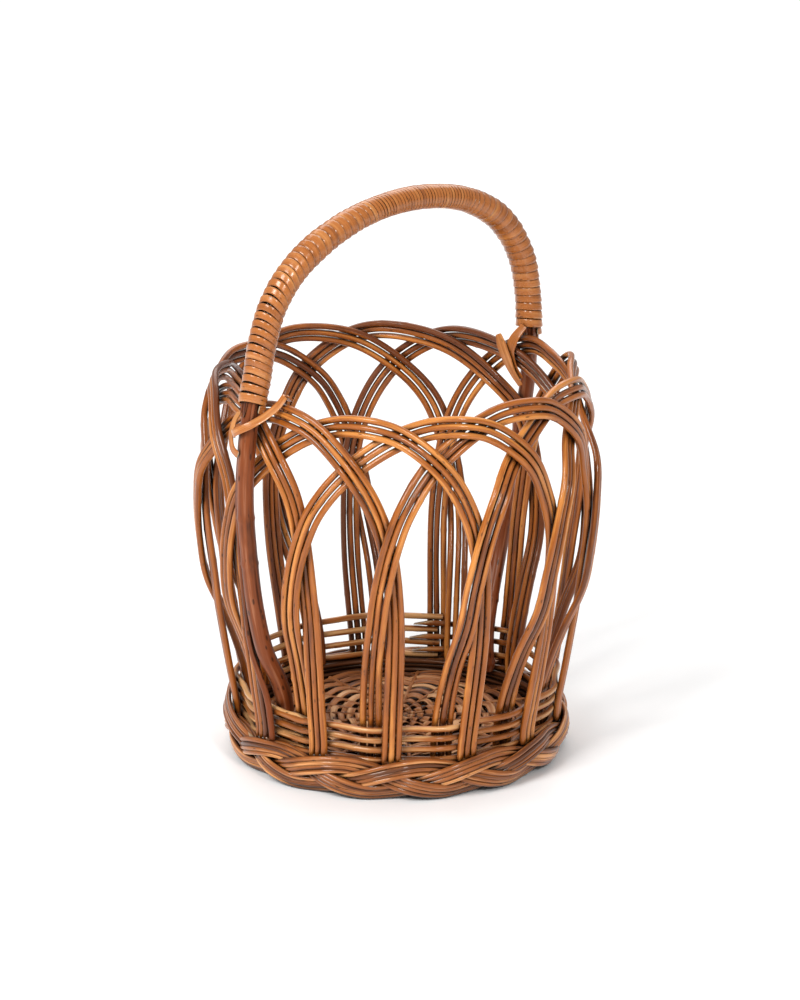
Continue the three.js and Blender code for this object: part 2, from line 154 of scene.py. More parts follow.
def even_curve(rows: Array, steps: int) -> Array:
    """Smooth curve through rows that are evenly spaced in its parameter.

    Args:
        rows: Rows of the curve, of any width.
        steps: Number of steps along it.

    Returns:
        Steps + 1 points.
    """
    padded = np.vstack([2 * rows[0] - rows[1], rows, 2 * rows[-1] - rows[-2]])
    slope = 0.5 * (padded[2:] - padded[:-2])
    return hermite(rows, (slope[:-1], slope[1:]), np.linspace(0, len(rows) - 1, steps + 1))


def round_curve(points: Array, steps: int) -> Array:
    """Smooth centripetal curve through points that lie unevenly.

    Args:
        points: Points in space.
        steps: Number of steps along it, evenly spaced in length.

    Returns:
        Steps + 1 points.
    """
    padded = np.vstack([2 * points[0] - points[1], points, 2 * points[-1] - points[-2]])
    gap = np.sqrt(np.linalg.norm(np.diff(padded, axis=0), axis=1))[:, None]
    p0, p1, p2, p3 = padded[:-3], padded[1:-2], padded[2:-1], padded[3:]
    g0, g1, g2 = gap[:-2], gap[1:-1], gap[2:]
    start = ((p1 - p0) / g0 - (p2 - p0) / (g0 + g1) + (p2 - p1) / g1) * g1
    end = ((p2 - p1) / g1 - (p3 - p1) / (g1 + g2) + (p3 - p2) / g2) * g1
    fine = hermite(points, (start, end), np.linspace(0, len(points) - 1, 16 * len(points)))
    return resample(fine, steps)


def run_of(path: Array) -> Array:
    """Length of a path up to each of its points."""
    return np.concatenate([[0], np.cumsum(np.linalg.norm(np.diff(path, axis=0), axis=1))])


def resample(path: Array, steps: int) -> Array:
    """Lay out the same path in steps of one length.

    Args:
        path: Points of the path.
        steps: Number of steps.

    Returns:
        Steps + 1 points.
    """
    run = run_of(path)
    places = np.linspace(0, run[-1], steps + 1)
    columns = [np.interp(places, run, path[:, axis]) for axis in range(path.shape[1])]
    return np.column_stack(columns)


def steps_for(path: Array, step: float) -> int:
    """Number of steps of about one length along a path."""
    return max(4, round(float(np.linalg.norm(np.diff(path, axis=0), axis=1).sum()) / step))


def drift(count: int, length: float, wave: float, rng: Chance) -> Array:
    """Slow random wander along a strand, between about -1 and 1.

    Args:
        count: Number of values.
        length: Length of the strand.
        wave: Length of one wave of the wander.
        rng: Source of chance.

    Returns:
        One value for each point of the strand.
    """
    knots = max(4, int(length / wave) + 3)
    values = rng.uniform(-1, 1, (knots, 1))
    return even_curve(values, max(count - 1, 1))[:count, 0]


def headings(path: Array, closed: bool) -> Array:
    """Directions in which a path runs, of any length.

    Args:
        path: Points of the path.
        closed: Whether its end joins its start.

    Returns:
        One direction per point.
    """
    ahead = np.roll(path, -1, axis=0) - np.roll(path, 1, axis=0)
    if not closed:
        ahead[0], ahead[-1] = path[1] - path[0], path[-1] - path[-2]
    return ahead


def carried_frames(path: Array, closed: bool) -> tuple[Array, Array]:
    """Two directions square to a path at each point, carried along it without twist.

    Args:
        path: Points of the path.
        closed: Whether its end joins its start.

    Returns:
        The two directions, one row per point.
    """
    tangent = unit(headings(path, closed))
    upright = abs(tangent[0, 2]) >= 0.9
    seed = np.array([1.0, 0.0, 0.0]) if upright else np.array([0.0, 0.0, 1.0])
    side = np.empty_like(path)
    side[0] = unit(np.cross(seed, tangent[0]))
    for i in range(1, len(path)):
        moved = side[i - 1] - tangent[i] * np.dot(side[i - 1], tangent[i])
        side[i] = moved / np.linalg.norm(moved)
    return side, np.cross(tangent, side)


@dataclass
class Strand:
    """One rod or strip, from its middle line to the numbers that its finish reads.

    Attributes:
        path: Middle line.
        half_width: Half its width at each point, or all along.
        half_depth: Half its thickness, the same as half its width for a round rod.
        facing: Direction that the face of a strip looks in, one row per point.
        section: Shape of its cross-section.
        ends: How it starts and how it ends.
        tip: Length of a whittled end.
        tone: Shade of this strand among its fellows, from 0 for dark to 1 for light.
    """

    path: Array
    half_width: Array | float
    half_depth: Array | float | None = None
    facing: Array | None = None
    section: Section = Section.ROUND
    ends: tuple[End, End] = (End.SQUARE, End.SQUARE)
    tip: float = 9 * MM
    tone: float = 0.5

    def outline(self) -> Array:
        """Lay out the cross-section.

        Returns:
            Points of a unit shape: across, then out.
        """
        if self.section is Section.ROUND:
            angle = np.linspace(0, 2 * np.pi, ROD_SIDES, endpoint=False)
            return np.column_stack([np.cos(angle), np.sin(angle)])
        crown = (0.5, 0.92, 0.99, 1.0, 0.99, 0.92, 0.5)
        across = (1.0, 0.86, 0.5, 0.0, -0.5, -0.86, -1.0)
        foot = (-0.45, -0.7, -0.7, -0.7, -0.45)
        under = (-0.93, -0.6, 0.0, 0.6, 0.93)
        return np.array([*zip(across, crown), *zip(under, foot)])

    def frames(self) -> tuple[Array, Array]:
        """Find the directions across and out.

        Returns:
            The two directions, one row per point.
        """
        closed = self.ends[0] is End.CLOSED
        if self.facing is None:
            return carried_frames(self.path, closed)
        ahead = headings(self.path, closed)
        across = unit(np.cross(ahead, self.facing))
        return across, unit(np.cross(across, ahead))

    def swellings(self, run: Array, rng: Chance) -> Array:
        """Let the thickness wander slowly and swell it in a low ring at each leaf scar.

        Args:
            run: Length of the rod up to each point.
            rng: Source of chance.

        Returns:
            How much thicker it is at each point.
        """
        grown = 1 + THICKENING * drift(len(run), run[-1], THICKENING_WAVE, rng)
        for _ in range(int(run[-1] / SCAR_SPACING) + 1):
            place = rng.uniform(0, run[-1])
            grown += SCAR_HEIGHT * np.exp(-(((run - place) / SCAR_LENGTH) ** 2))
        return grown


class StrandMesh:
    """Gathers strands into one mesh, with what the finishes read: grain, tone and cut faces."""

    def __init__(self, name: str, seed: int) -> None:
        """Start an empty mesh.

        Args:
            name: Name of the piece.
            seed: Start of its chance.
        """
        self.name = name
        self.rng = np.random.default_rng(seed)
        self.points: list[Array] = []
        self.grain: list[Array] = []
        self.tone: list[Array] = []
        self.cut: list[Array] = []
        self.faces: list[tuple[int, ...]] = []
        self.count = 0

    def add(self, strand: Strand) -> None:
        """Add a strand as a closed skin of quads with its ends.

        Args:
            strand: What to add.
        """
        path, closed = strand.path, strand.ends[0] is End.CLOSED
        across, out = strand.frames()
        run = run_of(path)
        outline = strand.outline()
        wide = np.broadcast_to(strand.half_width, len(path)).astype(float)
        deep = wide if strand.half_depth is None else np.broadcast_to(strand.half_depth, len(path))
        grown = strand.swellings(run, self.rng) if strand.section is Section.ROUND else 1.0
        if closed:
            grown = 1.0  # so that its end fits its start
        u = outline[None, :, 0] * (wide * grown)[:, None]
        v = outline[None, :, 1] * (deep * grown)[:, None]
        cut = np.zeros_like(u)
        for at_end, end in enumerate(strand.ends):
            from_end = run[-1] - run if at_end else run
            if end is End.WHITTLED:
                slant = np.clip(from_end / strand.tip, 0, 1)
                limit = (SLANT_TIP + SLANT_RISE * slant) * deep
                shaved = (v > limit[:, None]) & (slant < 1)[:, None]
                v = np.where(shaved, limit[:, None], v)
                cut = np.where(shaved, 1.0, cut)
            elif end is End.SQUARE:
                worn = 1 - WORN * np.exp(-((from_end / WORN_LENGTH) ** 2))
                u, v = u * worn[:, None], v * worn[:, None]
        rings = path[:, None] + across[:, None] * u[..., None] + out[:, None] * v[..., None]
        grain = np.dstack([np.broadcast_to(run[:, None], u.shape), u, v])
        self._skin(rings, grain, cut, strand)

    def _skin(self, rings: Array, grain: Array, cut: Array, strand: Strand) -> None:
        """Add rings of points as one closed body.

        Args:
            rings: Points, ring by ring.
            grain: Their places along, across and out.
            cut: Which of them lie on a cut face.
            strand: The strand, whose ends get faces with points of their own unless they join.
        """
        closed, tone = strand.ends[0] is End.CLOSED, strand.tone
        length, sides = rings.shape[:2]
        first = self.count
        offset = self.rng.uniform(-1, 1, 3)
        ids = np.arange(length * sides).reshape(length, sides) + first
        ahead = np.roll(ids, -1, axis=0) if closed else ids[1:]
        here = ids if closed else ids[:-1]
        corners = [here, np.roll(here, -1, 1), np.roll(ahead, -1, 1), ahead]
        self.faces.extend(map(tuple, np.stack(corners, -1).reshape(-1, 4).tolist()))
        self._keep(rings.reshape(-1, 3), grain.reshape(-1, 3) + offset, cut.reshape(-1), tone)
        if closed:
            return
        for row, turned in ((0, True), (length - 1, False)):
            start = self.count
            self._keep(rings[row], grain[row] + offset, np.ones(sides), tone)
            loop = list(range(start, start + sides))
            self.faces.append(tuple(loop[::-1] if turned else loop))

    def _keep(self, points: Array, grain: Array, cut: Array, tone: float) -> None:
        """Store points with their attributes.

        Args:
            points: The points.
            grain: Their places along, across and out.
            cut: Which of them lie on a cut face.
            tone: Shade of all of them.
        """
        self.points.append(points)
        self.grain.append(grain)
        self.cut.append(cut)
        self.tone.append(np.full(len(points), tone))
        self.count += len(points)

    def build(self, material: bpy.types.Material) -> bpy.types.Object:
        """Make the Blender object.

        Args:
            material: Finish of the whole piece.

        Returns:
            The piece, smooth, with its sharp edges marked.
        """
        mesh = bpy.data.meshes.new(self.name)
        mesh.from_pydata(np.concatenate(self.points).tolist(), [], self.faces)
        for name, kind, field_name, values in (
            ("grain", "FLOAT_VECTOR", "vector", self.grain),
            ("tone", "FLOAT", "value", self.tone),
            ("cut", "FLOAT", "value", self.cut),
        ):
            layer = mesh.attributes.new(name, kind, "POINT")
            layer.data.foreach_set(field_name, np.concatenate(values).astype(np.float32).ravel())
        mesh.materials.append(material)
        mesh.shade_smooth()
        mesh.set_sharp_from_angle(angle=SHARP_ANGLE)
        mesh.validate()
        piece = bpy.data.objects.new(self.name, mesh)
        bpy.context.scene.collection.objects.link(piece)
        return piece


def dress(piece: bpy.types.Object, slot: str, *nodes: str) -> None:
    """Make a piece stand for its solids and ride with them.

    Args:
        piece: The finished piece.
        slot: Material slot of the record; not used.
        *nodes: Solids that it stands for.
    """
    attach(piece, BODY)
    if nodes:
        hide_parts(*nodes)
    LOG.info("%s: %d faces", piece.name, len(piece.data.polygons))


@dataclass(frozen=True)
class Wall:
    """Surface that the loops of rods follow, and points beside it.

    Attributes:
        foot_radius: Radius at the foot.
        bulge_radius: Radius where it is widest.
        bulge_height: Height at which that is.
        rim_radius: Radius at the tops of the loops.
        rim_height: Height of those tops.
        start_height: Height below which it is upright.
        flare: How late it flares out above that.
        foot_end: Height at which the feet of the rods end.
        rod: Thickness of a rod of the loops, as their course counts it.
        weaver: Thickness of a rod of the woven rows.
        slack: Free space between two rods that cross.
    """

    foot_radius: float = 93 * MM
    bulge_radius: float = 115.7 * MM
    bulge_height: float = 157 * MM
    rim_radius: float = 103.5 * MM
    rim_height: float = 230 * MM
    start_height: float = 30 * MM
    flare: float = 1.35
    foot_end: float = 22 * MM
    rod: float = 3.6 * MM
    weaver: float = 3.4 * MM
    slack: float = 1.2 * MM

    @property
    def layer(self) -> float:
        """How far a rod stands off the surface where it crosses another."""
        return (self.rod + self.slack) / 2

    def radius(self, height: Array) -> Array:
        """Find the radius: a late quarter sine up to the bulge, then a parabola in to the rim.

        Args:
            height: Heights.

        Returns:
            One radius per height.
        """
        above = (height - self.bulge_height) / (self.rim_height - self.bulge_height)
        share = (height - self.start_height) / (self.bulge_height - self.start_height)
        flare = np.sin(np.pi / 2 * np.clip(share, 0, 1)) ** self.flare
        below = self.foot_radius + (self.bulge_radius - self.foot_radius) * flare
        inward = (self.bulge_radius - self.rim_radius) * above**2
        return np.where(above > 0, self.bulge_radius - inward, below)

    def height(self, share: Array) -> Array:
        """Height at a share of the wall."""
        return self.foot_end + (self.rim_height - self.foot_end) * share

    @staticmethod
    def ring(degrees: Array, radius: Array, height: Array) -> Array:
        """Place points round the axis.

        Args:
            degrees: Angles from the front, before the loops crowd together.
            radius: Distances from the axis.
            height: Heights.

        Returns:
            Points, one per row.
        """
        angle = np.radians(degrees + CROWDING * np.cos(np.radians(degrees - CROWDING_TURN)))
        columns = np.broadcast_arrays(radius * np.sin(angle), -radius * np.cos(angle), height)
        return np.stack(columns, -1)

    def off(self, degrees: Array, height: Array, stand: Array) -> Array:
        """Place points that stand off the surface, square to it.

        Args:
            degrees: Angles from the front.
            height: Heights of the surface.
            stand: Distances off the surface, outward.

        Returns:
            Points, one per row.
        """
        reach = 0.01 * MM
        slope = (self.radius(height + reach) - self.radius(height - reach)) / (2 * reach)
        length = np.sqrt(1 + slope**2)
        radius = self.radius(height) + stand / length
        return self.ring(degrees, radius, height - stand * slope / length)

    def beside(self, rows: Rows, reach: float) -> Array:
        """Points of rows of degrees past the first foot, share of the height and of a reach."""
        cells = np.array(rows)
        return self.off(FIRST_FOOT + cells[:, 0], self.height(cells[:, 1]), cells[:, 2] * reach)

    @staticmethod
    def outward(points: Array) -> Array:
        """Level directions away from the axis."""
        return unit(points * np.array([1.0, 1.0, 0.0]))


class NodeSheet:
    """Lays out the nodes of one procedural finish."""

    def __init__(self, name: str) -> None:
        """Start a material with its shader and output.

        Args:
            name: Name of the material.
        """
        self.material = bpy.data.materials.new(name)
        self.material.use_nodes = True
        self.tree = self.material.node_tree
        self.tree.nodes.clear()
        self.shader = self.tree.nodes.new("ShaderNodeBsdfPrincipled")
        output = self.tree.nodes.new("ShaderNodeOutputMaterial")
        self.tree.links.new(self.shader.outputs["BSDF"], output.inputs["Surface"])

    def feed(self, socket: Socket, value: object) -> None:
        """Link a socket to another, or set its value.

        Args:
            socket: Input to feed.
            value: Another socket, a colour or a plain value.
        """
        if isinstance(value, Socket):
            self.tree.links.new(value, socket)
        elif isinstance(value, tuple) and len(value) == 3 and socket.type == "RGBA":
            socket.default_value = (*value, 1.0)
        else:
            socket.default_value = value

    def node(self, kind: str, inputs: dict[object, object], **settings: object) -> bpy.types.Node:
        """Add a node.

        Args:
            kind: Blender's name of the node, after "ShaderNode".
            inputs: Values or sockets for its inputs.
            **settings: Its own settings.

        Returns:
            The node.
        """
        made = self.tree.nodes.new("ShaderNode" + kind)
        for key, value in settings.items():
            setattr(made, key, value)
        for key, value in inputs.items():
            self.feed(made.inputs[key], value)
        return made

    def attribute(self, name: str) -> bpy.types.Node:
        """Read a point attribute of the mesh."""
        return self.node("Attribute", {}, attribute_name=name)

    def sum(self, kind: str, first: object, second: object, third: object = 0.0) -> Socket:
        """One step of arithmetic."""
        return self.node("Math", {0: first, 1: second, 2: third}, operation=kind).outputs[0]

    def stretched(self, vector: Socket, scale: Triple) -> Socket:
        """Coordinates scaled along, across and out."""
        return self.node("VectorMath", {0: vector, 1: scale}, operation="MULTIPLY").outputs[0]

    def noise(self, vector: Socket, scale: float, detail: float = 2.0) -> Socket:
        """Cloudy noise from 0 to 1."""
        inputs = {"Vector": vector, "Scale": scale, "Detail": detail}
        return self.node("TexNoise", inputs).outputs["Fac"]

    def dots(self, vector: Socket, scale: float) -> Socket:
        """Distance to scattered points."""
        return self.node("TexVoronoi", {"Vector": vector, "Scale": scale}).outputs["Distance"]

    def between(self, value: object, low: float, high: float, to: Pair) -> Socket:
        """Carry a value from one range to another, smoothly and clamped."""
        inputs = {0: value, 1: low, 2: high, 3: to[0], 4: to[1]}
        return self.node("MapRange", inputs, interpolation_type="SMOOTHSTEP").outputs[0]

    def blend(self, share: object, first: object, second: object, kind: str = "MIX") -> Socket:
        """Mix two colours.

        Args:
            share: Share of the second one.
            first: Colour or socket.
            second: Colour or socket.
            kind: Blender's name of the way to mix.

        Returns:
            The mixed colour.
        """
        inputs = {0: share, 6: first, 7: second}
        made = self.node("Mix", {}, data_type="RGBA", blend_type=kind)
        for key, value in inputs.items():
            self.feed(made.inputs[key], value)
        return made.outputs[2]

    def finish(self, inputs: dict[str, object]) -> None:
        """Feed inputs of the shader, by name."""
        for key, value in inputs.items():
            self.feed(self.shader.inputs[key], value)


@dataclass(frozen=True)
class WillowFinish:
    """Varnished willow, cane or split wood, with streaks, blotches, specks, cut faces and painted
    shade in the gaps between strands.

    Attributes:
        name: Name of the material.
        dark: Colour of its dark streaks and of its darkest strands.
        middle: Its main colour.
        light: Colour of its light streaks.
        cut: Colour of a cut face.
        streaks: How strongly the streaks show.
        blotches: How strongly the slow patches show.
        specks: Share of the surface with small dark scars.
        roughness: Roughness of the wood from gloss to dull places.
        gloss: Strength of the sheen of the wood itself.
        sheen: Colour of that sheen.
        varnish: Weight of the coat of varnish.
        varnish_roughness: Roughness of that coat.
        relief: Depth of the grain in the bump.
        shade_reach: Width of the gaps between strands in which shade is painted into the colour,
            standing for shadow.
        shade_level: How much of the colour the painted shade leaves at the bottom of such a gap.
    """

    name: str
    dark: Colour
    middle: Colour
    light: Colour
    cut: Colour
    streaks: float = 0.8
    blotches: float = 0.45
    specks: float = 0.06
    roughness: Pair = (0.3, 0.55)
    gloss: float = 0.35
    sheen: Colour = (1.0, 0.72, 0.5)
    varnish: float = 0.3
    varnish_roughness: float = 0.12
    relief: float = 0.12 * MM
    shade_reach: float = 5 * MM
    shade_level: float = 0.08

    def material(self) -> bpy.types.Material:
        """Build the material.

        Returns:
            The material, which reads the attributes grain, tone and cut of the mesh.
        """
        sheet = NodeSheet(self.name)
        grain = sheet.attribute("grain").outputs["Vector"]
        tone = sheet.attribute("tone").outputs["Fac"]
        cut = sheet.attribute("cut").outputs["Fac"]
        fibre = sheet.noise(sheet.stretched(grain, FIBRES), 1.0, 3.0)
        streak = sheet.noise(sheet.stretched(grain, STREAKS), 1.0)
        patch = sheet.noise(sheet.stretched(grain, PATCHES), 1.0)
        shade = sheet.sum("MULTIPLY_ADD", tone, TONE_SPAN, -TONE_SPAN / 2)
        for cloud, low, high, strength in (
            (patch, 0.3, 0.7, self.blotches),
            (streak, 0.3, 0.7, self.streaks),
            (fibre, 0.25, 0.75, FIBRE_SHADE * self.streaks),
        ):
            even = sheet.between(cloud, low, high, (-0.5, 0.5))
            shade = sheet.sum("MULTIPLY_ADD", even, strength, shade)
        lighter = sheet.between(shade, 0.0, FULL_SHADE, (0.0, 1.0))
        darker = sheet.between(shade, 0.0, -FULL_SHADE, (0.0, 1.0))
        colour = sheet.blend(lighter, self.middle, self.light)
        colour = sheet.blend(darker, colour, self.dark)
        specks = sheet.dots(sheet.stretched(grain, SPECKS), 1.0)
        edge = self.specks + SPECK_EDGE
        speck = sheet.between(specks, self.specks, edge, (SPECK_STRENGTH, 0.0))
        colour = sheet.blend(speck, colour, tuple(SPECK_DARK * part for part in self.dark))
        rings = sheet.noise(sheet.stretched(grain, END_GRAIN), 1.0, 4.0)
        face = sheet.blend(rings, tuple(END_DARK * part for part in self.cut), self.cut)
        colour = sheet.blend(cut, colour, face)
        # Painted shade: the colour is darkened towards a dark brown where ambient occlusion finds a
        # narrow gap between strands, standing for the shadow there.
        openness = sheet.node("AmbientOcclusion", {"Distance": self.shade_reach}, samples=4)
        gap = sheet.between(openness.outputs["AO"], *SHADE_OPENNESS, (1.0, 0.0))
        brown = tuple(self.shade_level * part for part in SHADE_TINT)
        shaded = sheet.blend(1.0, colour, brown, "MULTIPLY")
        height = sheet.sum("MULTIPLY_ADD", speck, -SPECK_PIT, sheet.sum("ADD", fibre, streak))
        inputs = {"Strength": GRAIN_HEIGHT, "Distance": self.relief, "Height": height}
        bump = sheet.node("Bump", inputs)
        dull = sheet.between(sheet.sum("ADD", fibre, patch), 0.7, 1.3, self.roughness)
        sheet.finish(
            {
                "Base Color": sheet.blend(gap, colour, shaded),
                "Roughness": dull,
                "Normal": bump.outputs["Normal"],
                "Specular IOR Level": self.gloss,
                "Specular Tint": self.sheen,
                "Coat Weight": self.varnish,
                "Coat Roughness": self.varnish_roughness,
            }
        )
        return sheet.material


@dataclass(frozen=True)
class FloorFinish:
    """Plain pale studio floor, with a faint mottle.

    Attributes:
        name: Name of the material.
        tint: Colour of the floor.
        mottle: Share of it that is left in the darker places.
    """

    name: str = "pale_floor"
    tint: Colour = (0.97, 0.97, 0.968)
    mottle: float = 0.985

    def material(self) -> bpy.types.Material:
        """Build the material.

        Returns:
            The material.
        """
        sheet = NodeSheet(self.name)
        cloud = sheet.noise(sheet.node("TexCoord", {}).outputs["Object"], 9.0, 4.0)
        tint = sheet.blend(cloud, tuple(self.mottle * part for part in self.tint), self.tint)
        dull = sheet.between(cloud, 0.3, 0.7, (0.75, 0.9))
        sheet.finish({"Base Color": tint, "Roughness": dull})
        return sheet.material


WALL_ROD = WillowFinish(
    name="willow_rod",
    dark=(0.14, 0.034, 0.007),
    middle=(0.36, 0.098, 0.011),
    light=(0.64, 0.24, 0.048),
    cut=(0.6, 0.38, 0.19),
    varnish=0.6,
)
WEAVER_ROD = WillowFinish(
    name="willow_weaver",
    dark=(0.12, 0.03, 0.007),
    middle=(0.33, 0.096, 0.016),
    light=(0.62, 0.33, 0.13),
    cut=(0.62, 0.38, 0.18),
    varnish=0.5,
    varnish_roughness=0.1,
    shade_level=0.14,
)
BARK_ROD = WillowFinish(
    name="willow_bark",
    dark=(0.05, 0.012, 0.005),
    middle=(0.2, 0.045, 0.011),
    light=(0.34, 0.13, 0.062),
    cut=(0.48, 0.3, 0.18),
    specks=0.12,
    gloss=0.3,
    varnish=0.2,
    varnish_roughness=0.2,
)
CANE = WillowFinish(
    name="split_cane",
    dark=(0.17, 0.042, 0.008),
    middle=(0.42, 0.132, 0.026),
    light=(0.68, 0.3, 0.09),
    cut=(0.74, 0.56, 0.36),
    streaks=0.35,
    blotches=0.5,
    specks=0.04,
    roughness=(0.2, 0.36),
    gloss=0.5,
    sheen=(1.0, 0.85, 0.7),
    varnish=0.5,
    varnish_roughness=0.16,
    shade_reach=2.4 * MM,
    shade_level=0.1,
)
PLAIT_ROD = WillowFinish(
    name="willow_plait",
    dark=(0.1, 0.027, 0.007),
    middle=(0.31, 0.09, 0.017),
    light=(0.72, 0.32, 0.11),
    cut=(0.6, 0.43, 0.27),
    streaks=0.95,
    varnish=0.6,
    shade_reach=6 * MM,
    shade_level=0.06,
)
# Painted shade: the rings inside the braid get a far darker copy of the willow colours, standing
# for the shadow in which they lie.
SHADED_CORE_ROD = WillowFinish(
    name="willow_core_shaded",
    dark=(0.03, 0.009, 0.003),
    middle=(0.09, 0.026, 0.008),
    light=(0.18, 0.066, 0.024),
    cut=(0.35, 0.2, 0.11),
    varnish=0.1,
)
SPLIT_STRIP = WillowFinish(
    name="split_willow",
    dark=(0.1, 0.028, 0.008),
    middle=(0.36, 0.125, 0.038),
    light=(0.66, 0.36, 0.17),
    cut=(0.6, 0.42, 0.26),
    streaks=0.9,
    roughness=(0.4, 0.65),
    varnish=0.15,
    shade_level=0.12,
)


@dataclass
class LoopWall:
    """Wall of loops: thirteen of three rods each, all laid to one course.

    Attributes:
        wall: Surface that they follow.
        course: Degrees on from the inside foot, share of the wall's height, distance off the
            surface in units of the layer, and spacing of the three rods in diameters.
        bends: For each loop, millimetres by which its top stands above the course, and degrees on.
        bend_from: Share of the wall's height from which the loops differ.
        sides: Names of a loop's rods, and on which side of its middle each lies.
        steps: Number of steps in which a course is laid out.
        step: Length of one step of a rod's skin.
        wander: How far a rod strays from its course along the surface and off it.
        wander_wave: Length on which it does, as shares of the rod.
        steady: Share of the rod at each end over which it keeps to its course.
        thickness: Thickness of a rod.
        taper: Share of it at the thick end and at the thin one.
        tones: Darkest and lightest shade of a rod.
        brown: How much darker the brown ones are.
        brown_rods: Loops, from 0, and sides of the rods that kept a dark skin.
    """

    wall: Wall
    course: Rows = (
        (-0.8, 0, -1.577, 1.42), (-0.2, 0.14, -1.792, 1.4), (1.2, 0.279, -1, 1.26),
        (3.2, 0.413, 1, 1.18), (5, 0.53, 1, 1.16), (8.2, 0.655, 1, 1.16), (12.6, 0.76, 1, 1.17),
        (20.1, 0.856, -1, 1.18), (32.5, 0.939, -1, 1.19), (45.8, 0.981, -1, 1.19),
        (58.8, 0.979, 1, 1.18), (69, 0.946, 1, 1.18), (79, 0.868, 1, 1.16),
        (86.2, 0.763, -0.75, 1.13), (90.4, 0.63, -1, 1.11), (92, 0.462, -1, 1.1),
        (92.1, 0.308, 0.25, 1.1), (91.3, 0.14, 1.521, 1.1), (90.6, 0, 1.582, 1.1),
    )
    bends: Rows = (
        (-3.4, 1.4), (0.4, 0), (0.6, 0), (2.2, 0.5), (1.1, -0.5), (-0.5, 0.4), (1.8, -1.4),
        (4.5, -0.2), (1.1, -0.6), (0.8, 0), (0.3, 1.4), (-1, -1.2), (-2.7, -0.2),
    )
    bend_from: float = 0.42
    sides: dict[str, int] = field(default_factory=lambda: {"outer": 1, "middle": 0, "inner": -1})
    steps: int = 300
    step: float = 2.2 * MM
    wander: Pair = (0.35 * MM, 0.25 * MM)
    wander_wave: Pair = (0.09, 0.12)
    steady: float = 0.12
    thickness: float = 3.85 * MM
    taper: Pair = (1.04, 0.93)
    tones: Pair = (0.1, 0.95)
    brown: float = 0.9
    brown_rods: tuple[tuple[int, int], ...] = ((5, 1), (6, 1), (7, 1), (8, 0), (9, 1))

    def path(self, loop: int, side: int, wander: list[Array]) -> Array:
        """Lay out the middle line of one rod.

        Args:
            loop: Number of the loop, from 0.
            side: 1 for the outer rod of the loop, 0 for the middle one and -1 for the inner one.
            wander: Departures along the surface and off it, one value per point.

        Returns:
            Points from the inside foot to the outside one.
        """
        wall = self.wall
        rows = np.array(self.course, float)
        rows[:, 1] = wall.height(rows[:, 1])
        rows[:, 2] *= wall.layer
        course = even_curve(rows[:, :3], self.steps)
        along = np.gradient(course, axis=0)
        place = np.linspace(0, len(rows) - 1, self.steps + 1)
        spacing = np.interp(place, np.arange(len(rows)), rows[:, 3]) * wall.rod
        radius = wall.radius(course[:, 1])
        slant = unit(np.column_stack([-along[:, 1], np.radians(along[:, 0]) * radius]))
        shift = slant * (side * spacing)[:, None] + slant * wander[0][:, None]
        lift, turn = self.bends[loop]
        rise = smoothstep(course[:, 1], wall.height(self.bend_from), wall.rim_height)
        height = course[:, 1] + shift[:, 1] + lift * MM * rise
        foot = FIRST_FOOT + LOOP_TURN * loop
        degrees = foot + course[:, 0] + turn * rise + np.degrees(shift[:, 0] / radius)
        return wall.off(degrees, height, course[:, 2] + wander[1])

    def rod(self, loop: int, side: int, rng: Chance) -> Strand:
        """Shape one rod.

        Args:
            loop: Number of the loop, from 0.
            side: Which of its rods, as for its path.
            rng: Source of chance.

        Returns:
            The rod, with thick and thin ends by turns beside each other.
        """
        share = np.linspace(0, 1, self.steps + 1)
        free = smoothstep(share, 0.0, self.steady) * smoothstep(-share, -1.0, self.steady - 1)
        wander = [
            reach * drift(len(share), 1.0, wave, rng) * free
            for reach, wave in zip(self.wander, self.wander_wave)
        ]
        path = self.path(loop, side, wander)
        path = resample(path, steps_for(path, self.step))
        start, end = self.taper[::-1] if (loop + side) % 2 else self.taper
        radius = self.thickness / 2 * np.linspace(start, end, len(path))
        tone = rng.uniform(*self.tones) - (self.brown if (loop, side) in self.brown_rods else 0)
        return Strand(path, radius, tone=tone)

    def build(self) -> None:
        """Make and dress the rods, one piece for each solid."""
        material = WALL_ROD.material()
        for loop in range(LOOPS):
            for place, side in self.sides.items():
                name = f"loop_{loop + 1:02d}_{place}_rod"
                mesh = StrandMesh(f"willow_{name}", seed=100 + 3 * loop + side)
                mesh.add(self.rod(loop, side, mesh.rng))
                dress(mesh.build(material), "wall_rod", name)


@dataclass(frozen=True)
class Join:
    """Place where a rod of a woven row starts and the one before it ends.

    Attributes:
        angle: Angle at which the new rod starts.
        overlap: Degrees by which the old one goes on beside it.
        end_sink: Millimetres by which the end of the old one lies below the row.
        start_sink: Millimetres by which the start of the new one does.
        run_down: Degrees over which the old one leaves the row.
        painted_light: How much paler the new one is, as painted light, largest for the rod that
            runs round the back where the inside of the row is lit.
    """

    angle: float
    overlap: float
    end_sink: float
    start_sink: float
    run_down: float
    painted_light: float


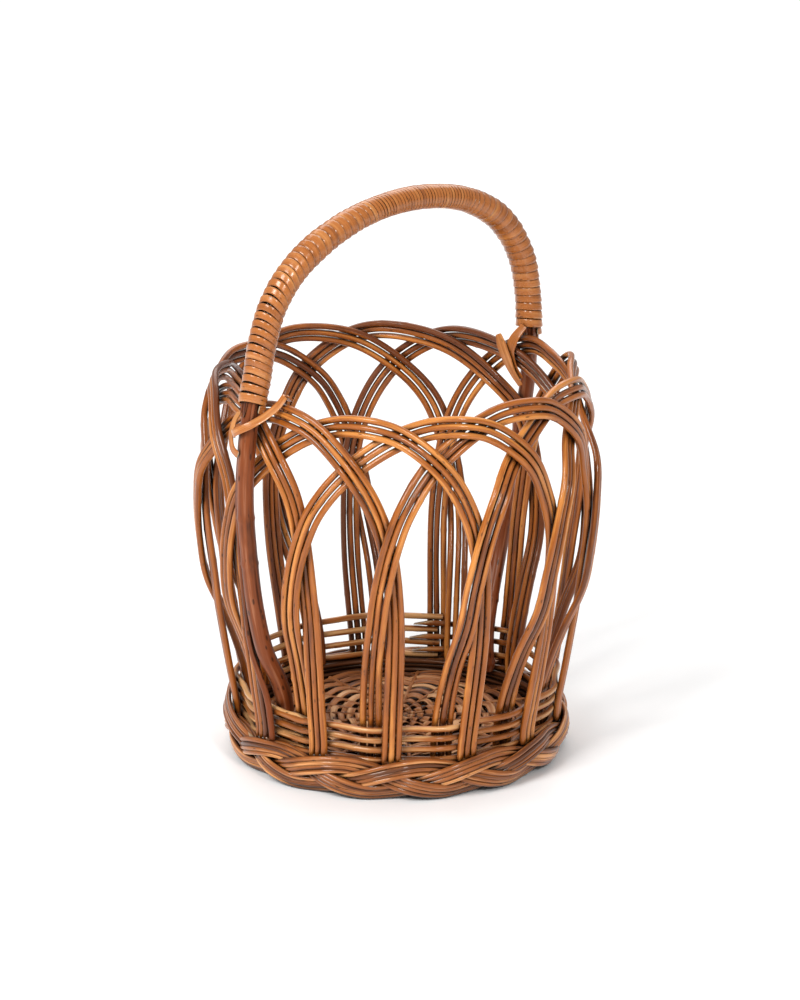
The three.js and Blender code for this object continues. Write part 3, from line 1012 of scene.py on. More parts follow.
@dataclass
class WeaverRows:
    """Rows woven round the feet of the wall, each of several rods that overlap at their ends.

    Attributes:
        wall: Surface that they follow.
        rows: Number of rows.
        first_height: Middle of the lowest row.
        pitch: Height from row to row at the front and at the back.
        wave: How far a row bows out over each inside foot.
        joins: Where the rods of a row start and end.
        scatter: Degrees by which the joins of a row are moved at most.
        run_up: Degrees over which a new rod comes into the row.
        level_end: Degrees at the end of the old one that run level.
        aside: Millimetres by which a start stands out of the row, and an end in.
        unevenness: Millimetres by which a rod strays up and down.
        step: Degrees of one step of a rod's skin.
        taper: Share of its thickness at its start and at its end.
        tip: Length of its whittled end.
        tones: Darkest and lightest shade of a rod.
    """

    wall: Wall
    rows: int = 4
    first_height: float = 23.5 * MM
    pitch: Pair = (6.2 * MM, 8 * MM)
    wave: float = 1.3 * MM
    joins: tuple[Join, ...] = (
        Join(164.0, 10.0, end_sink=3.8, start_sink=0.3, run_down=44, painted_light=0.75),
        Join(305.0, 24.0, end_sink=-1.1, start_sink=1.3, run_down=16, painted_light=0.25),
    )
    scatter: float = 1.5
    run_up: float = 16
    level_end: float = 6
    aside: Pair = (1.4, 1.6)
    unevenness: float = 0.35
    step: float = 1.2
    taper: Pair = (1.16, 1.0)
    tip: float = 12 * MM
    tones: Pair = (0.15, 0.6)

    def height(self, row: int, degrees: Array) -> Array:
        """Find the middle of a row.

        Args:
            row: Number of the row, from 0.
            degrees: Angles from the front.

        Returns:
            One height per angle.
        """
        front, back = self.pitch
        behind = (1 - np.cos(np.radians(degrees))) / 2
        return self.first_height + row * (front + (back - front) * behind)

    def rod(self, row: int, span: Pair, joins: tuple[Join, ...], rng: Chance) -> Strand:
        """Shape one rod of a row.

        Args:
            row: Number of the row, from 0.
            span: Angles at which it starts and ends.
            joins: Joins at its start and at its end.
            rng: Source of chance.

        Returns:
            The rod, waving out over the inside feet and in behind the outside ones.
        """
        start, stop = span
        degrees = np.linspace(start, stop, steps_for(np.array([[0.0], [stop - start]]), self.step))
        phase = np.radians(LOOPS * (degrees - FIRST_FOOT))
        first = 1 - smoothstep(degrees, start, start + self.run_up)
        last = smoothstep(degrees, stop - joins[1].run_down, stop - self.level_end)
        sink = last * joins[1].end_sink + first * joins[0].start_sink
        stray = self.unevenness * drift(len(degrees), 1.0, 0.1, rng)
        height = self.height(row, degrees) - MM * (sink - stray)
        out, inward = self.aside
        stand = self.wave * np.cos(phase) + MM * (out * first - inward * last)
        path = self.wall.off(degrees, height, stand)
        thick = self.wall.weaver / 2 * np.linspace(*self.taper, len(path))
        # Painted light: the rod that runs round the back is made paler, standing for the light that
        # falls on the inside of the row there.
        tone = rng.uniform(*self.tones) + joins[0].painted_light
        return Strand(path, thick, ends=(End.SQUARE, End.WHITTLED), tip=self.tip, tone=tone)

    def build(self) -> None:
        """Make and dress the rows."""
        material = WEAVER_ROD.material()
        following = (*self.joins[1:], self.joins[0])
        for row in range(self.rows):
            mesh = StrandMesh(f"willow_weaver_row_{row + 1}", seed=300 + row)
            rng = mesh.rng
            starts = [join.angle + rng.uniform(-self.scatter, self.scatter) for join in self.joins]
            stops = [*starts[1:], starts[0] + 360]
            for start, stop, joins in zip(starts, stops, zip(self.joins, following)):
                mesh.add(self.rod(row, (start, stop + joins[1].overlap), joins, rng))
            dress(mesh.build(material), "weaver_rod", f"weaver_row_{row + 1}")


@dataclass
class Hoop:
    """Handle: a bark hoop, its packing rods, the cane wound round it, and the ties that hold it.

    Attributes:
        wall: Surface beside which the posts run.
        post: Thickness of the posts.
        core: Thickness under the cane.
        crown: Height of the middle of the hoop at its top.
        left: Rows of the left post, from its foot.
        right: Rows of the right post, down to its foot.
        arch: Shares of the way from post to post, and of the way from the rim to the crown.
        side_rod: Rows of the thin rod beside the left post.
        ties: Rows of the straps, by the name of their solid.
        strap_width: Width of a strap.
        broad_straps: Widths in millimetres of the straps that widen, along their length.
        cane_thickness: Thickness of a strap.
        points: Number of points of the hoop.
        rod_points: Number of points of the side rod.
        tie_points: Number of points of a strap.
        side_taper: Share of its thickness at the foot of the side rod and at its top.
        bark: How much thicker the hoop is in its bark than its posts are counted.
        thin_crown: Share by which it is thinner at the crown.
        packing: Number of packing rods.
        packing_radius: Half their thickness.
        packing_tip: Length of their whittled ends.
        wrap_ends: Heights over the rim at which the cane starts and ends.
        wrap_sides: Points of the cane in one turn.
        wrap_points: Number of points at which its turns are counted.
        band_widths: Width of a turn in millimetres, along the wrapped part.
        cracks: Least and greatest gap between two turns, in millimetres.
        cane_depth: Half the thickness of the cane.
        cane_seat: Distance of its middle from the core.
        unevenness: How far it strays from that.
        pressed: How much closer it lies where the core is thinner.
        thinner: Where that is, along the wrapped part.
        tucked: How far each end of the cane is pushed in.
        tuck: Share of a turn over which it is.
        slant: How far each turn leans along the hoop.
        shingle: How far each turn tips over the next one.
    """

    wall: Wall
    post: float = 9.6 * MM
    core: float = 13 * MM
    crown: float = 329 * MM
    left: Rows = (
        (-15.6, 0, -1.17), (-15.1, 0.102, -1.25), (-13.6, 0.172, -0.93), (-11.6, 0.294, 0.08),
        (-10.2, 0.441, 0.46), (-9.4, 0.607, 0.7), (-9, 0.746, 1.19), (-9.1, 0.869, 1.48),
        (-9.8, 0.983, 1.65),
    )
    right: Rows = (
        (173.9, 0.997, 1.58), (176.4, 0.875, 1.42), (180, 0.7, 1.15), (182.3, 0.515, 0.85),
        (182.4, 0.345, 0.37), (180.5, 0.197, -0.65), (178.4, 0.102, -1.25), (177.4, 0, -1.17),
    )
    arch: Rows = (
        (0.02, 0.17), (0.036, 0.337), (0.078, 0.564), (0.16, 0.757), (0.3, 0.915), (0.45, 0.993),
        (0.61, 0.998), (0.765, 0.923), (0.885, 0.767), (0.963, 0.53), (0.993, 0.275),
    )
    side_rod: Rows = (
        (-13.7, 0, 0.52), (-13.9, 0.137, 0.53), (-15.6, 0.299, 0.63), (-14.1, 0.442, 0.55),
        (-13.2, 0.607, 0.61), (-12.7, 0.747, 1.01), (-12.6, 0.87, 1.3), (-12.9, 0.943, 1.43),
    )
    ties: dict[str, Rows] = field(
        default_factory=lambda: {
            "tie_left_long": (
                (-13.1, 0.908, 2.03), (-11.7, 0.911, 2.54), (-9, 0.923, 2.77), (-6.1, 0.942, 2.39),
                (-4.1, 0.969, 1.5), (-2.3, 1.001, 0.78), (-1.7, 1.025, 0.31), (-1.5, 1.018, -0.42),
            ),
            "tie_left_short": (
                (-15.8, 0.961, 1.35), (-15.4, 0.936, 1.74), (-14, 0.898, 2.08),
                (-11.8, 0.873, 2.28), (-9.5, 0.862, 2.3),
            ),
            "tie_right_upright": (
                (171.6, 1.035, 0.6), (173.6, 1.008, -0.4), (175, 0.972, -0.85),
                (174.2, 0.934, -1.04), (171.8, 0.893, -0.97),
            ),
            "tie_right_slant": (
                (179.6, 1.017, -0.53), (178, 0.992, -0.88), (176, 0.963, -1.2),
                (173.6, 0.917, -1.36), (171.2, 0.876, -1.26),
            ),
        }
    )
    strap_width: float = 4.4 * MM
    broad_straps: dict[str, Rows] = field(
        default_factory=lambda: {
            "tie_right_upright": ((0, 4.6), (0.35, 7.0), (0.65, 6.6), (1, 4.0)),
            "tie_right_slant": ((0, 4.2), (0.18, 7.2), (0.5, 7.0), (0.72, 4.8), (1, 3.6)),
        }
    )
    cane_thickness: float = 1.1 * MM
    points: int = 420
    rod_points: int = 110
    tie_points: int = 60
    side_taper: Pair = (1.02, 0.9)
    bark: float = 1.05
    thin_crown: float = 0.05
    packing: int = 7
    packing_radius: float = 1.05 * MM
    packing_tip: float = 7 * MM
    wrap_ends: Pair = (-1 * MM, 4 * MM)
    wrap_sides: int = 36
    wrap_points: int = 4000
    band_widths: Rows = (
        (0.0, 5.6), (0.02, 5.0), (0.06, 4.0), (0.2, 4.6), (0.34, 5.7), (0.4, 5.0), (0.44, 2.5),
        (0.66, 2.4), (0.7, 5.2), (0.82, 6.0), (0.93, 5.0), (1.0, 5.0),
    )
    cracks: Pair = (0.12, 0.6)
    cane_depth: float = 0.62 * MM
    cane_seat: float = 0.95 * MM
    unevenness: float = 0.12 * MM
    pressed: float = 0.9 * MM
    tucked: float = 1.3 * MM
    tuck: float = 0.16
    shingle: float = 0.14
    slant: Rows = (
        (0, 0.15), (0.06, 0.5), (0.2, 0.6), (0.33, 0.2), (0.42, -0.2), (0.5, -0.15), (0.62, 0),
        (0.72, 0.3), (0.85, 0.35), (1, 0.3),
    )
    thinner: Rows = ((0, 0), (0.3, 0), (0.42, 1), (0.62, 1), (0.76, 0), (1, 0))

    @property
    def reach(self) -> float:
        """Distance that the rows of posts and ties count in."""
        return self.post / 2 + self.wall.layer

    def course(self) -> Array:
        """Lay out the hoop.

        Returns:
            Its middle line from the left foot to the right one.
        """
        left = self.wall.beside(self.left, self.reach)
        right = self.wall.beside(self.right, self.reach)
        arch = []
        for part, share in self.arch:
            point = left[-1] + (right[0] - left[-1]) * part
            point[2] = self.wall.rim_height + (self.crown - self.wall.rim_height) * share
            arch.append(point)
        return round_curve(np.vstack([left, arch, right]), self.points)

    def frames(self, path: Array) -> tuple[Array, Array, Array]:
        """Find the directions of the hoop.

        Args:
            path: Points of its course.

        Returns:
            Its run, its side and outward, one row per point.
        """
        left = self.wall.beside(self.left, self.reach)[-1]
        right = self.wall.beside(self.right, self.reach)[0]
        across = unit((right - left) * np.array([1.0, 1.0, 0.0]))
        flat = np.array([across[1], -across[0], 0.0])
        run = unit(np.gradient(path, axis=0))
        side = unit(flat - run * (run @ flat)[:, None])
        return run, side, np.cross(run, side)

    def wrapped(self, path: Array) -> tuple[int, int]:
        """Find the part that the cane covers.

        Args:
            path: Course of the hoop.

        Returns:
            Numbers of its first and last point.
        """
        low, high = self.wrap_ends
        first = int(np.argmax(path[:, 2] > self.wall.rim_height + low))
        last = len(path) - 1 - int(np.argmax(path[::-1, 2] > self.wall.rim_height + high))
        return first, last

    def build_hoop(self, path: Array) -> None:
        """Make and dress the hoop with the packing rods that thicken it under the cane.

        Args:
            path: Course of the hoop.
        """
        mesh = StrandMesh("bark_hoop", seed=410)
        rng = mesh.rng
        taper = 1 - self.thin_crown * np.sin(np.linspace(0, np.pi, len(path)))
        mesh.add(Strand(path, self.bark * self.post / 2 * taper))
        first, last = self.wrapped(path)
        _, side, out = self.frames(path)
        away = self.post / 2 * 0.96 + 0.2 * MM  # a little way into the bark
        ends = (End.WHITTLED, End.WHITTLED)
        for i in range(self.packing):
            angle = 2 * math.pi * (i + 0.4) / self.packing
            part = slice(first - rng.integers(2, 9), last + rng.integers(2, 9))
            line = path[part] + (side[part] * math.cos(angle) + out[part] * math.sin(angle)) * away
            tone = rng.uniform(0, 0.6)
            mesh.add(Strand(line, self.packing_radius, ends=ends, tip=self.packing_tip, tone=tone))
        dress(mesh.build(BARK_ROD.material()), "bark_rod", "handle_hoop")

    def build_side_rod(self) -> None:
        """Make and dress the thin rod beside the left post."""
        mesh = StrandMesh("bark_side_rod", seed=420)
        path = round_curve(self.wall.beside(self.side_rod, self.reach), self.rod_points)
        mesh.add(Strand(path, self.wall.rod / 2 * np.linspace(*self.side_taper, len(path))))
        dress(mesh.build(BARK_ROD.material()), "bark_rod", "handle_side_rod")

    def build_wrap(self, path: Array) -> None:
        """Make and dress the cane wound round the hoop, in turns that lie against each other.

        Args:
            path: Course of the hoop.
        """
        first, last = self.wrapped(path)
        mesh = StrandMesh("cane_wrap", seed=430)
        fine = resample(path[first : last + 1], self.wrap_points)
        length = np.linalg.norm(np.diff(fine, axis=0), axis=1).sum()
        share = np.linspace(0, 1, len(fine))
        pitch = table(share, self.band_widths) * MM
        steps = length / self.wrap_points / ((pitch[1:] + pitch[:-1]) / 2)
        counted = np.concatenate([[0], np.cumsum(steps)])
        turns = np.linspace(0, counted[-1], int(counted[-1] * self.wrap_sides))
        places = np.interp(turns, counted, share)
        centre = np.column_stack([np.interp(places, share, fine[:, axis]) for axis in range(3)])
        ahead, side, out = self.frames(centre)
        angle = turns * 2 * np.pi
        spoke = side * np.cos(angle)[:, None] + out * np.sin(angle)[:, None]
        crack = mesh.rng.uniform(*self.cracks, int(counted[-1]) + 2) * MM
        width = np.interp(places, share, pitch) - np.interp(turns, np.arange(len(crack)), crack)
        stray = self.unevenness * drift(len(turns), 1.0, 0.02, mesh.rng)
        from_end = np.minimum(counted[-1] - angle / (2 * np.pi), angle / (2 * np.pi))
        tucked = self.tucked * (1 - smoothstep(from_end, 0, self.tuck))
        away = self.core / 2 + self.cane_seat + stray
        away = away - self.pressed * table(places, self.thinner) - tucked
        lean = -table(places, self.slant) * np.sin(angle) * away
        line = centre + spoke * away[:, None] + ahead * lean[:, None]
        facing = spoke - self.shingle * ahead
        depth = self.cane_depth
        mesh.add(Strand(line, 0.5 * width, depth, facing=facing, section=Section.DOMED))
        dress(mesh.build(CANE.material()), "cane", "handle_cane_wrap")

    def build_ties(self) -> None:
        """Make and dress the four straps that tie the posts to the wall."""
        material = CANE.material()
        for number, (name, rows) in enumerate(self.ties.items()):
            mesh = StrandMesh(f"cane_{name}", seed=440 + number)
            path = round_curve(self.wall.beside(rows, self.reach), self.tie_points)
            width = np.full(len(path), self.strap_width)
            if name in self.broad_straps:
                width = table(np.linspace(0, 1, len(path)), self.broad_straps[name]) * MM
            depth, facing = self.cane_thickness / 2, self.wall.outward(path)
            mesh.add(Strand(path, width / 2, depth, facing, Section.DOMED, tone=0.6))
            dress(mesh.build(material), "cane", name)

    def build(self) -> None:
        """Make and dress the whole handle."""
        path = self.course()
        self.build_hoop(path)
        self.build_side_rod()
        self.build_wrap(path)
        self.build_ties()


@dataclass
class FootPlait:
    """Plaited foot: flat braid of three strands, each a bundle of rods out of a loop's foot.

    Attributes:
        wall: Surface of the wall above it.
        middle: Radius and height of the middle of the braid's face.
        lean: Slope and curve of that face in radius.
        swing: How far a bundle swings up and down.
        weave: How far it passes in and out.
        rod: Thickness of one rod of a bundle.
        spacing: Distance between the rods of a bundle.
        phase: Degrees from an outside foot to the top of the bundle that starts there.
        foot_turn: Degrees from a loop's inside foot to the outside foot nearest to it.
        foot_radius: Distance of the outside feet from the axis.
        foot_gap: Degrees from rod to rod of an outside foot.
        foot_inset: How far behind them the rod from inside comes down.
        knees: Heights in millimetres at which a rod of the foot bends into the braid, and the
            one from inside.
        bend: Degrees on from the foot, and millimetres over the knee, of the points of that bend.
        dive: Degrees on from the foot of its last point, share of the way that this goes out to
            the bundle, share of the height that it keeps, and millimetres under the knee from
            which that is counted.
        rising: Share of bundles that have a rod from inside.
        points: Number of points in which a bundle is laid out.
        smooth: Number of points of its whole curve.
        joined: Place in its turn at which a rod from the foot lies in its bundle.
        stop: Place in its turn at which it ends.
        stop_scatter: By how much that differs from rod to rod.
        squeeze: Share by which a bundle is narrower where it turns.
        snap: How sharply it passes from behind the braid to its front.
        behind: How far it starts behind its place, so that it comes in under the others.
        come_up: Places in its turn between which it rises to its place.
        stray: How far a rod strays across the face and off it.
        step: Length of one step of a rod's skin.
        taper: Share of its thickness at its start and at its end.
        tones: Darkest and lightest shade of a rod.
        last_ends: Angle, distance from the axis and height in millimetres of the last ends, which
            lie over the braid at its left.
        last_count: Number of them.
        last_scatter: Degrees by which they differ at most.
        last_lag: Degrees by which each one lies behind the one above it.
        last_fan: Share of their distance that is left where they end.
        last_flare: How far each one leans out where they start, per millimetre down.
        last_taper: Share of their thickness at their start and at their end.
        last_points: Number of points of each.
        core_start: Radius and height in millimetres of the first ring inside the braid.
        core_pitch: Distance from ring to ring outward and up, in millimetres.
        core_shift: How far every other layer of rings is moved, in millimetres.
        core_rows: Number of layers.
        core_wave: How far the rings wave.
        core_points: Number of points of a ring.
    """

    wall: Wall
    middle: Pair = (100.0 * MM, 13.0 * MM)
    lean: Pair = (0.154, -17.9)
    swing: float = 8.3 * MM
    weave: float = 1.95 * MM
    rod: float = 3.2 * MM
    spacing: float = 2.75 * MM
    phase: float = 8.5
    foot_turn: float = 7.52
    foot_radius: float = 96.8 * MM
    foot_gap: float = 2.35
    foot_inset: float = 3.4 * MM
    knees: Pair = (24.0, 16.5)
    bend: Rows = ((-0.1, 3), (0.15, 0.4), (1.5, -1.4))
    dive: tuple[float, ...] = (4.4, 0.4, 0.42, 1.9)
    rising: float = 0.9
    points: int = 150
    smooth: int = 240
    joined: float = 0.35
    stop: float = 2 * math.pi + 1.05
    stop_scatter: Pair = (-0.05, 0.1)
    squeeze: float = 0.12
    snap: float = 1.1
    behind: float = 2.4 * MM
    come_up: Pair = (0.75, 1.6)
    stray: Pair = (0.3 * MM, 0.25 * MM)
    step: float = 1.7 * MM
    taper: Pair = (1.06, 0.9)
    tones: Pair = (0.1, 0.95)
    last_ends: Rows = (
        (-94.5, 99.7, 34.8), (-90, 100.7, 33.4), (-84, 101.4, 31), (-75, 101.8, 27.5),
        (-66, 101, 23.5), (-57, 99.2, 19.5),
    )
    last_count: int = 5
    last_scatter: float = 1.2
    last_lag: float = 0.5
    last_fan: float = 0.75
    last_flare: float = 0.3
    last_taper: Pair = (0.95, 0.85)
    last_points: int = 40
    core_start: Pair = (88.9, 2.4)
    core_pitch: Pair = (3.2, 2.95)
    core_shift: float = 1.6
    core_rows: int = 7
    core_wave: float = 0.4 * MM
    core_points: int = 180

    def face(self, degrees: Array, lateral: Array, stand: Array) -> Array:
        """Points on or off the braid's face.

        Args:
            degrees: Angles from the front.
            lateral: Distances up from the middle of the face.
            stand: Distances off it, outward.

        Returns:
            Points, one per row.
        """
        slope, curve = self.lean
        radius = self.middle[0] + slope * lateral + curve * lateral**2 + stand
        return self.wall.ring(degrees, radius, self.middle[1] + 0.93 * lateral)

    def from_foot(self, foot: float, side: float, merged: Array) -> Array:
        """Points by which a rod comes down out of an outside foot and turns along the braid.

        Args:
            foot: Angle of the middle of the foot.
            side: -1, 0 or 1 for the left, middle or right rod of the foot, -2 for one from inside.
            merged: Where it joins its bundle.

        Returns:
            The first points of its middle line.
        """
        end_radius, end_height = float(np.hypot(merged[0], merged[1])), float(merged[2])
        inside = side < -1
        radius = self.foot_radius - (self.foot_inset if inside else 0)
        knee = (self.knees[1] if inside else self.knees[0] + side) * MM
        place = foot + side * self.foot_gap
        rows = [(place + on, radius, knee + over * MM) for on, over in self.bend]
        on, out, kept, under = self.dive
        low = end_height + kept * (knee - under * MM - end_height)
        rows.append((place + on, (1 - out) * radius + out * end_radius, low))
        return np.array([self.wall.ring(*row) for row in rows])

    def bundle(self, mesh: StrandMesh, number: int) -> None:
        """Add the rods of the bundle that starts at one outside foot.

        Args:
            mesh: Where they go.
            number: Number of the foot's loop, from 0.
        """
        rng = mesh.rng
        foot = FIRST_FOOT + LOOP_TURN * number + self.foot_turn
        sides = (-2, -1, 0, 1) if rng.uniform() < self.rising else (-1, 0, 1)
        cycle, count, waver = 3 * LOOP_TURN, self.points, self.stray
        for i, side in enumerate(sides):
            offset = (i - (len(sides) - 1) / 2) * self.spacing
            later = offset / (math.sqrt(3) * self.swing)
            stop = self.stop + later + rng.uniform(*self.stop_scatter)
            turn = np.linspace(self.joined, stop, count)
            degrees = foot + self.phase + turn / (2 * np.pi) * cycle
            slope = -self.swing * np.sin(turn) * 2 * np.pi / (np.radians(cycle) * self.middle[0])
            tilt = 1 / np.sqrt(1 + slope**2)
            squeeze = 1 - self.squeeze * np.cos(turn) ** 4
            lateral = self.swing * np.cos(turn) + offset * tilt * squeeze
            lateral = lateral + waver[0] * drift(count, 1.0, 0.2, rng)
            degrees = degrees - np.degrees(offset * slope * tilt / self.middle[0])
            passing = self.weave * np.tanh(self.snap * np.sin(2 * turn)) / math.tanh(self.snap)
            stand = -passing - self.behind * (1 - smoothstep(turn, *self.come_up))
            path = self.face(degrees, lateral, stand + waver[1] * drift(count, 1.0, 0.2, rng))
            start = self.from_foot(foot, side, path[0])
            path = round_curve(np.vstack([start, path[::3]]), self.smooth)
            path = resample(path, steps_for(path, self.step))
            radius = self.rod / 2 * np.linspace(*self.taper, len(path))
            mesh.add(Strand(path, radius, tone=rng.uniform(*self.tones)))

    def add_last_ends(self, mesh: StrandMesh) -> None:
        """Add the rod ends with which the plait was closed.

        Args:
            mesh: Where they go.
        """
        rng, scatter = mesh.rng, self.last_scatter
        cells = np.array(self.last_ends)
        for i in range(self.last_count):
            down = self.spacing / MM * (i - 0.5)
            rows = cells + (rng.uniform(-scatter, scatter) + self.last_lag * i, 0.0, 0.0)
            rows[:, 2] -= down * np.linspace(1, self.last_fan, len(rows))
            rows[:, 1] += self.last_flare * down * np.linspace(1, 0, len(rows))
            points = self.wall.ring(rows[:, 0], rows[:, 1] * MM, rows[:, 2] * MM)
            path = round_curve(points, self.last_points)
            radius = self.rod / 2 * np.linspace(*self.last_taper, len(path))
            ends = (End.SQUARE, End.WHITTLED)
            mesh.add(Strand(path, radius, ends=ends, tone=rng.uniform(0.3, 0.9)))

    def core_rings(self, mesh: StrandMesh) -> None:
        """Add the rings of rods inside the braid on which the wall stands.

        Args:
            mesh: Where they go.
        """
        (inner, lowest), (outward, up) = self.core_start, self.core_pitch
        degrees = np.linspace(0, 360, self.core_points, endpoint=False)
        closed = (End.CLOSED, End.CLOSED)
        for row in range(self.core_rows):
            shift = self.core_shift if row % 2 else 0.0
            for column in range(2 if row == 0 else 3):
                wave = self.core_wave * np.cos(np.radians(LOOPS * degrees + 50 * row + 80 * column))
                radius = (inner + outward * column - shift * (column > 1) + shift) * MM
                path = self.wall.ring(degrees, radius + wave, (lowest + up * row) * MM - wave / 2)
                tone = mesh.rng.uniform(0, 0.6)
                mesh.add(Strand(path, self.wall.weaver / 2, ends=closed, tone=tone))

    def build(self) -> None:
        """Make and dress the braid and the rings inside it."""
        mesh = StrandMesh("willow_foot_plait", seed=500)
        for number in range(LOOPS):
            self.bundle(mesh, number)
        self.add_last_ends(mesh)
        dress(mesh.build(PLAIT_ROD.material()), "plait", "foot_border_plait")
        core = StrandMesh("willow_foot_core", seed=510)
        self.core_rings(core)
        dress(core.build(SHADED_CORE_ROD.material()), "plait", "foot_border_plait")


@dataclass
class WovenBase:
    """Woven base: flat split strips in rings over and under round spokes.

    Attributes:
        wall: Surface of the wall above it.
        radius: Radius of its rim.
        level: Height of its middle layer at the rim and in the middle.
        flat: Share of the radius up to which it is level.
        spokes: Number of spokes.
        spoke_rod: Thickness of a spoke.
        spoke_span: Distance of a spoke's ends from the axis and from the rim.
        spoke_taper: Share of its thickness at those ends.
        spoke_points: Number of its points.
        spoke_scatter: Degrees by which it may lie out of its place.
        strip: Width and thickness of a strip.
        pitch: Distance from ring to ring.
        rings: Radius of the innermost ring, and distance that is left at the rim.
        ring_points: Number of points of a ring.
        under: Height of the lower layer of rings over the middle one.
        sway: How far a ring strays in and out.
        swelling: Share by which the width of a strip differs along it.
        bow: Share of the full height by which a ring passes over and under a spoke.
        tips: Least and greatest slope of a strip's face.
        tones: Darkest and lightest shade of a ring.
        rim_painted_shade: Share of the radius beyond which they are darker, and by how much, as
            painted shade beside the wall.
        under_painted_shade: Shade of the lower layer, kept dark as painted shade under the upper
            one.
    """

    wall: Wall
    radius: float = 87.2 * MM
    level: Pair = (13.2 * MM, 15.6 * MM)
    flat: float = 0.45
    spokes: int = 20
    spoke_rod: float = 3.0 * MM
    spoke_span: Pair = (4 * MM, 1 * MM)
    spoke_taper: Pair = (0.7, 1)
    spoke_points: int = 40
    spoke_scatter: float = 2
    strip: Pair = (4.4 * MM, 1.2 * MM)
    pitch: float = 4.9 * MM
    rings: Pair = (9 * MM, 2 * MM)
    ring_points: int = 240
    under: float = -2.6 * MM
    sway: float = 0.5 * MM
    swelling: float = 0.1
    bow: float = 0.9
    tips: Pair = (-0.35, 0.1)
    tones: Pair = (0.2, 1.1)
    rim_painted_shade: Pair = (0.84, 0.7)
    under_painted_shade: float = -0.1

    def height(self, radius: Array) -> Array:
        """Height of the middle layer at a distance from the axis."""
        rim, crown = self.level
        return crown + (rim - crown) * smoothstep(radius / self.radius, self.flat, 1.05)

    def ring(self, mesh: StrandMesh, number: int, radius: float, drop: float) -> None:
        """Add one ring of strip, over and under the spokes.

        Args:
            mesh: Where it goes.
            number: Its number, from 0 in the middle; odd ones pass under where even ones pass over.
            radius: Its distance from the axis.
            drop: Height of its layer over the middle one, 0 for the upper layer.
        """
        rng, (width, thickness) = mesh.rng, self.strip
        degrees = np.linspace(0, 360, self.ring_points, endpoint=False)
        bow = np.cos(np.radians(self.spokes / 2 * degrees) + math.pi * number)
        rise = (self.spoke_rod + thickness) / 2 * self.bow * bow
        around = radius + self.sway * np.sin(np.radians(3 * degrees + 70 * number))
        path = self.wall.ring(degrees, around, self.height(around) + drop + rise)
        slope = rng.uniform(*self.tips)
        facing = np.tile([0.0, 0.0, 1.0], (len(path), 1)) + self.wall.outward(path) * slope
        swelling = 1 + self.swelling * np.cos(np.radians(5 * degrees + 50 * number))
        # Painted shade: the lower layer is darker, standing for the shadow under the upper rings,
        # and rings near the rim are darker still, standing for the shadow of the wall.
        tone = self.under_painted_shade
        if drop == 0:
            tone = rng.uniform(*self.tones)
            if radius > self.rim_painted_shade[0] * self.radius:
                tone -= self.rim_painted_shade[1]
        ends = (End.CLOSED, End.CLOSED)
        half_width = width / 2 * swelling
        mesh.add(Strand(path, half_width, thickness / 2, facing, Section.DOMED, ends, tone=tone))

    def build(self) -> None:
        """Make and dress the base."""
        mesh = StrandMesh("split_willow_base", seed=600)
        rng, scatter = mesh.rng, self.spoke_scatter
        inner, left = self.spoke_span
        radius = np.linspace(inner, self.radius - left, self.spoke_points)
        thick = self.spoke_rod / 2 * np.linspace(*self.spoke_taper, self.spoke_points)
        for i in range(self.spokes):
            degrees = 360 * (i + 0.5) / self.spokes + rng.uniform(-scatter, scatter)
            path = self.wall.ring(degrees, radius, self.height(radius))
            mesh.add(Strand(path, thick, tone=rng.uniform(0, 0.7)))
        inner, left = self.rings
        for number, radius in enumerate(np.arange(inner, self.radius - left, self.pitch)):
            self.ring(mesh, number, float(radius), 0.0)
            self.ring(mesh, number, float(radius) + self.pitch / 2, self.under)
        dress(mesh.build(SPLIT_STRIP.material()), "base_weave", "base_field")


@dataclass(frozen=True)
class Lamp:
    """One soft square light.

    Attributes:
        name: Name of the light.
        place: Where it hangs.
        size: Side of its square.
        power: Power in watts.
        aim: Point that it faces.
    """

    name: str
    place: Triple
    size: float
    power: float
    aim: Triple = (0, 0, 0.15)

    def hang(self) -> None:
        """Make the light."""
        data = bpy.data.lights.new(self.name, "AREA")
        data.size, data.energy = self.size, self.power
        lamp = bpy.data.objects.new(self.name, data)
        lamp.location = self.place
        ahead = Vector(self.aim) - Vector(self.place)
        lamp.rotation_euler = ahead.to_track_quat("-Z", "Y").to_euler()
        bpy.context.scene.collection.objects.link(lamp)


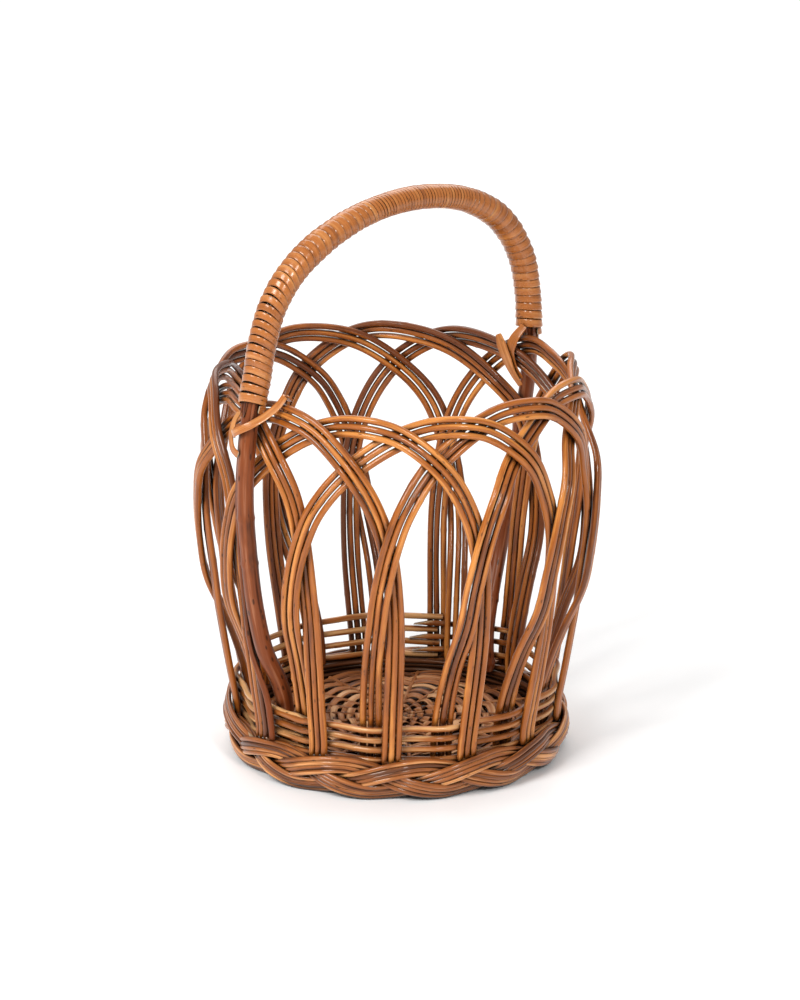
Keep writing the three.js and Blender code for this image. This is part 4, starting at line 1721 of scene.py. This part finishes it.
@dataclass
class Studio:
    """Pale floor, soft light and the camera at the photograph's angle.

    Attributes:
        floor_size: Side of the floor.
        eye: Place of the camera.
        tilt: Degrees by which it looks down.
        lens: Its focal length in millimetres.
        sensor: Width of its sensor in millimetres.
        clip: Nearest and farthest distance that it sees.
        world: Strength of the light from all round.
        lamps: The lights.
    """

    floor_size: float = 12.0
    eye: Triple = (0.0015, -1.9158, 0.7251)
    tilt: float = 16.68
    lens: float = 122.43
    sensor: float = 36.0
    clip: Pair = (0.1, 50)
    world: float = 0.4
    lamps: tuple[Lamp, ...] = (
        Lamp("key_light", (-1.15, -1.45, 1.6), 0.9, 41.0),
        Lamp("front_light", (0.7, -1.9, 1.35), 0.4, 18.0),
        Lamp("floor_light", (0, 2.3, 2.4), 3.0, 70.0, aim=(0, 2.3, 0)),
    )

    def build(self) -> None:
        """Set up the whole studio."""
        self.lay_floor()
        self.place_camera()
        for lamp in self.lamps:
            lamp.hang()
        world = bpy.data.worlds.new("soft_room")
        world.use_nodes = True
        background = world.node_tree.nodes["Background"]
        background.inputs["Color"].default_value = (1.0, 1.0, 1.0, 1.0)
        background.inputs["Strength"].default_value = self.world
        bpy.context.scene.world = world
        bpy.context.scene.view_settings.view_transform = "Standard"

    def lay_floor(self) -> None:
        """Make the floor."""
        half = self.floor_size / 2
        corners = [(-half, -half, 0), (half, -half, 0), (half, half, 0), (-half, half, 0)]
        mesh = bpy.data.meshes.new("floor")
        mesh.from_pydata(corners, [], [(0, 1, 2, 3)])
        mesh.materials.append(FloorFinish().material())
        floor = bpy.data.objects.new("floor", mesh)
        bpy.context.scene.collection.objects.link(floor)

    def place_camera(self) -> None:
        """Make the camera."""
        data = bpy.data.cameras.new("camera")
        data.lens, data.sensor_width = self.lens, self.sensor
        data.clip_start, data.clip_end = self.clip
        camera = bpy.data.objects.new("camera", data)
        camera.location = self.eye
        camera.rotation_euler = (math.radians(90 - self.tilt), 0, 0)
        bpy.context.scene.collection.objects.link(camera)
        bpy.context.scene.camera = camera


def main() -> None:
    """Build the basket, sub-assembly by sub-assembly, and the studio round it."""
    logging.basicConfig(level=logging.INFO, format="%(name)s: %(message)s")
    wall = Wall()
    parts = (LoopWall(wall), WeaverRows(wall), Hoop(wall), FootPlait(wall), WovenBase(wall))
    for part in (*parts, Studio()):
        part.build()
        LOG.info("%s done", type(part).__name__)


if __name__ == "__main__":
    main()
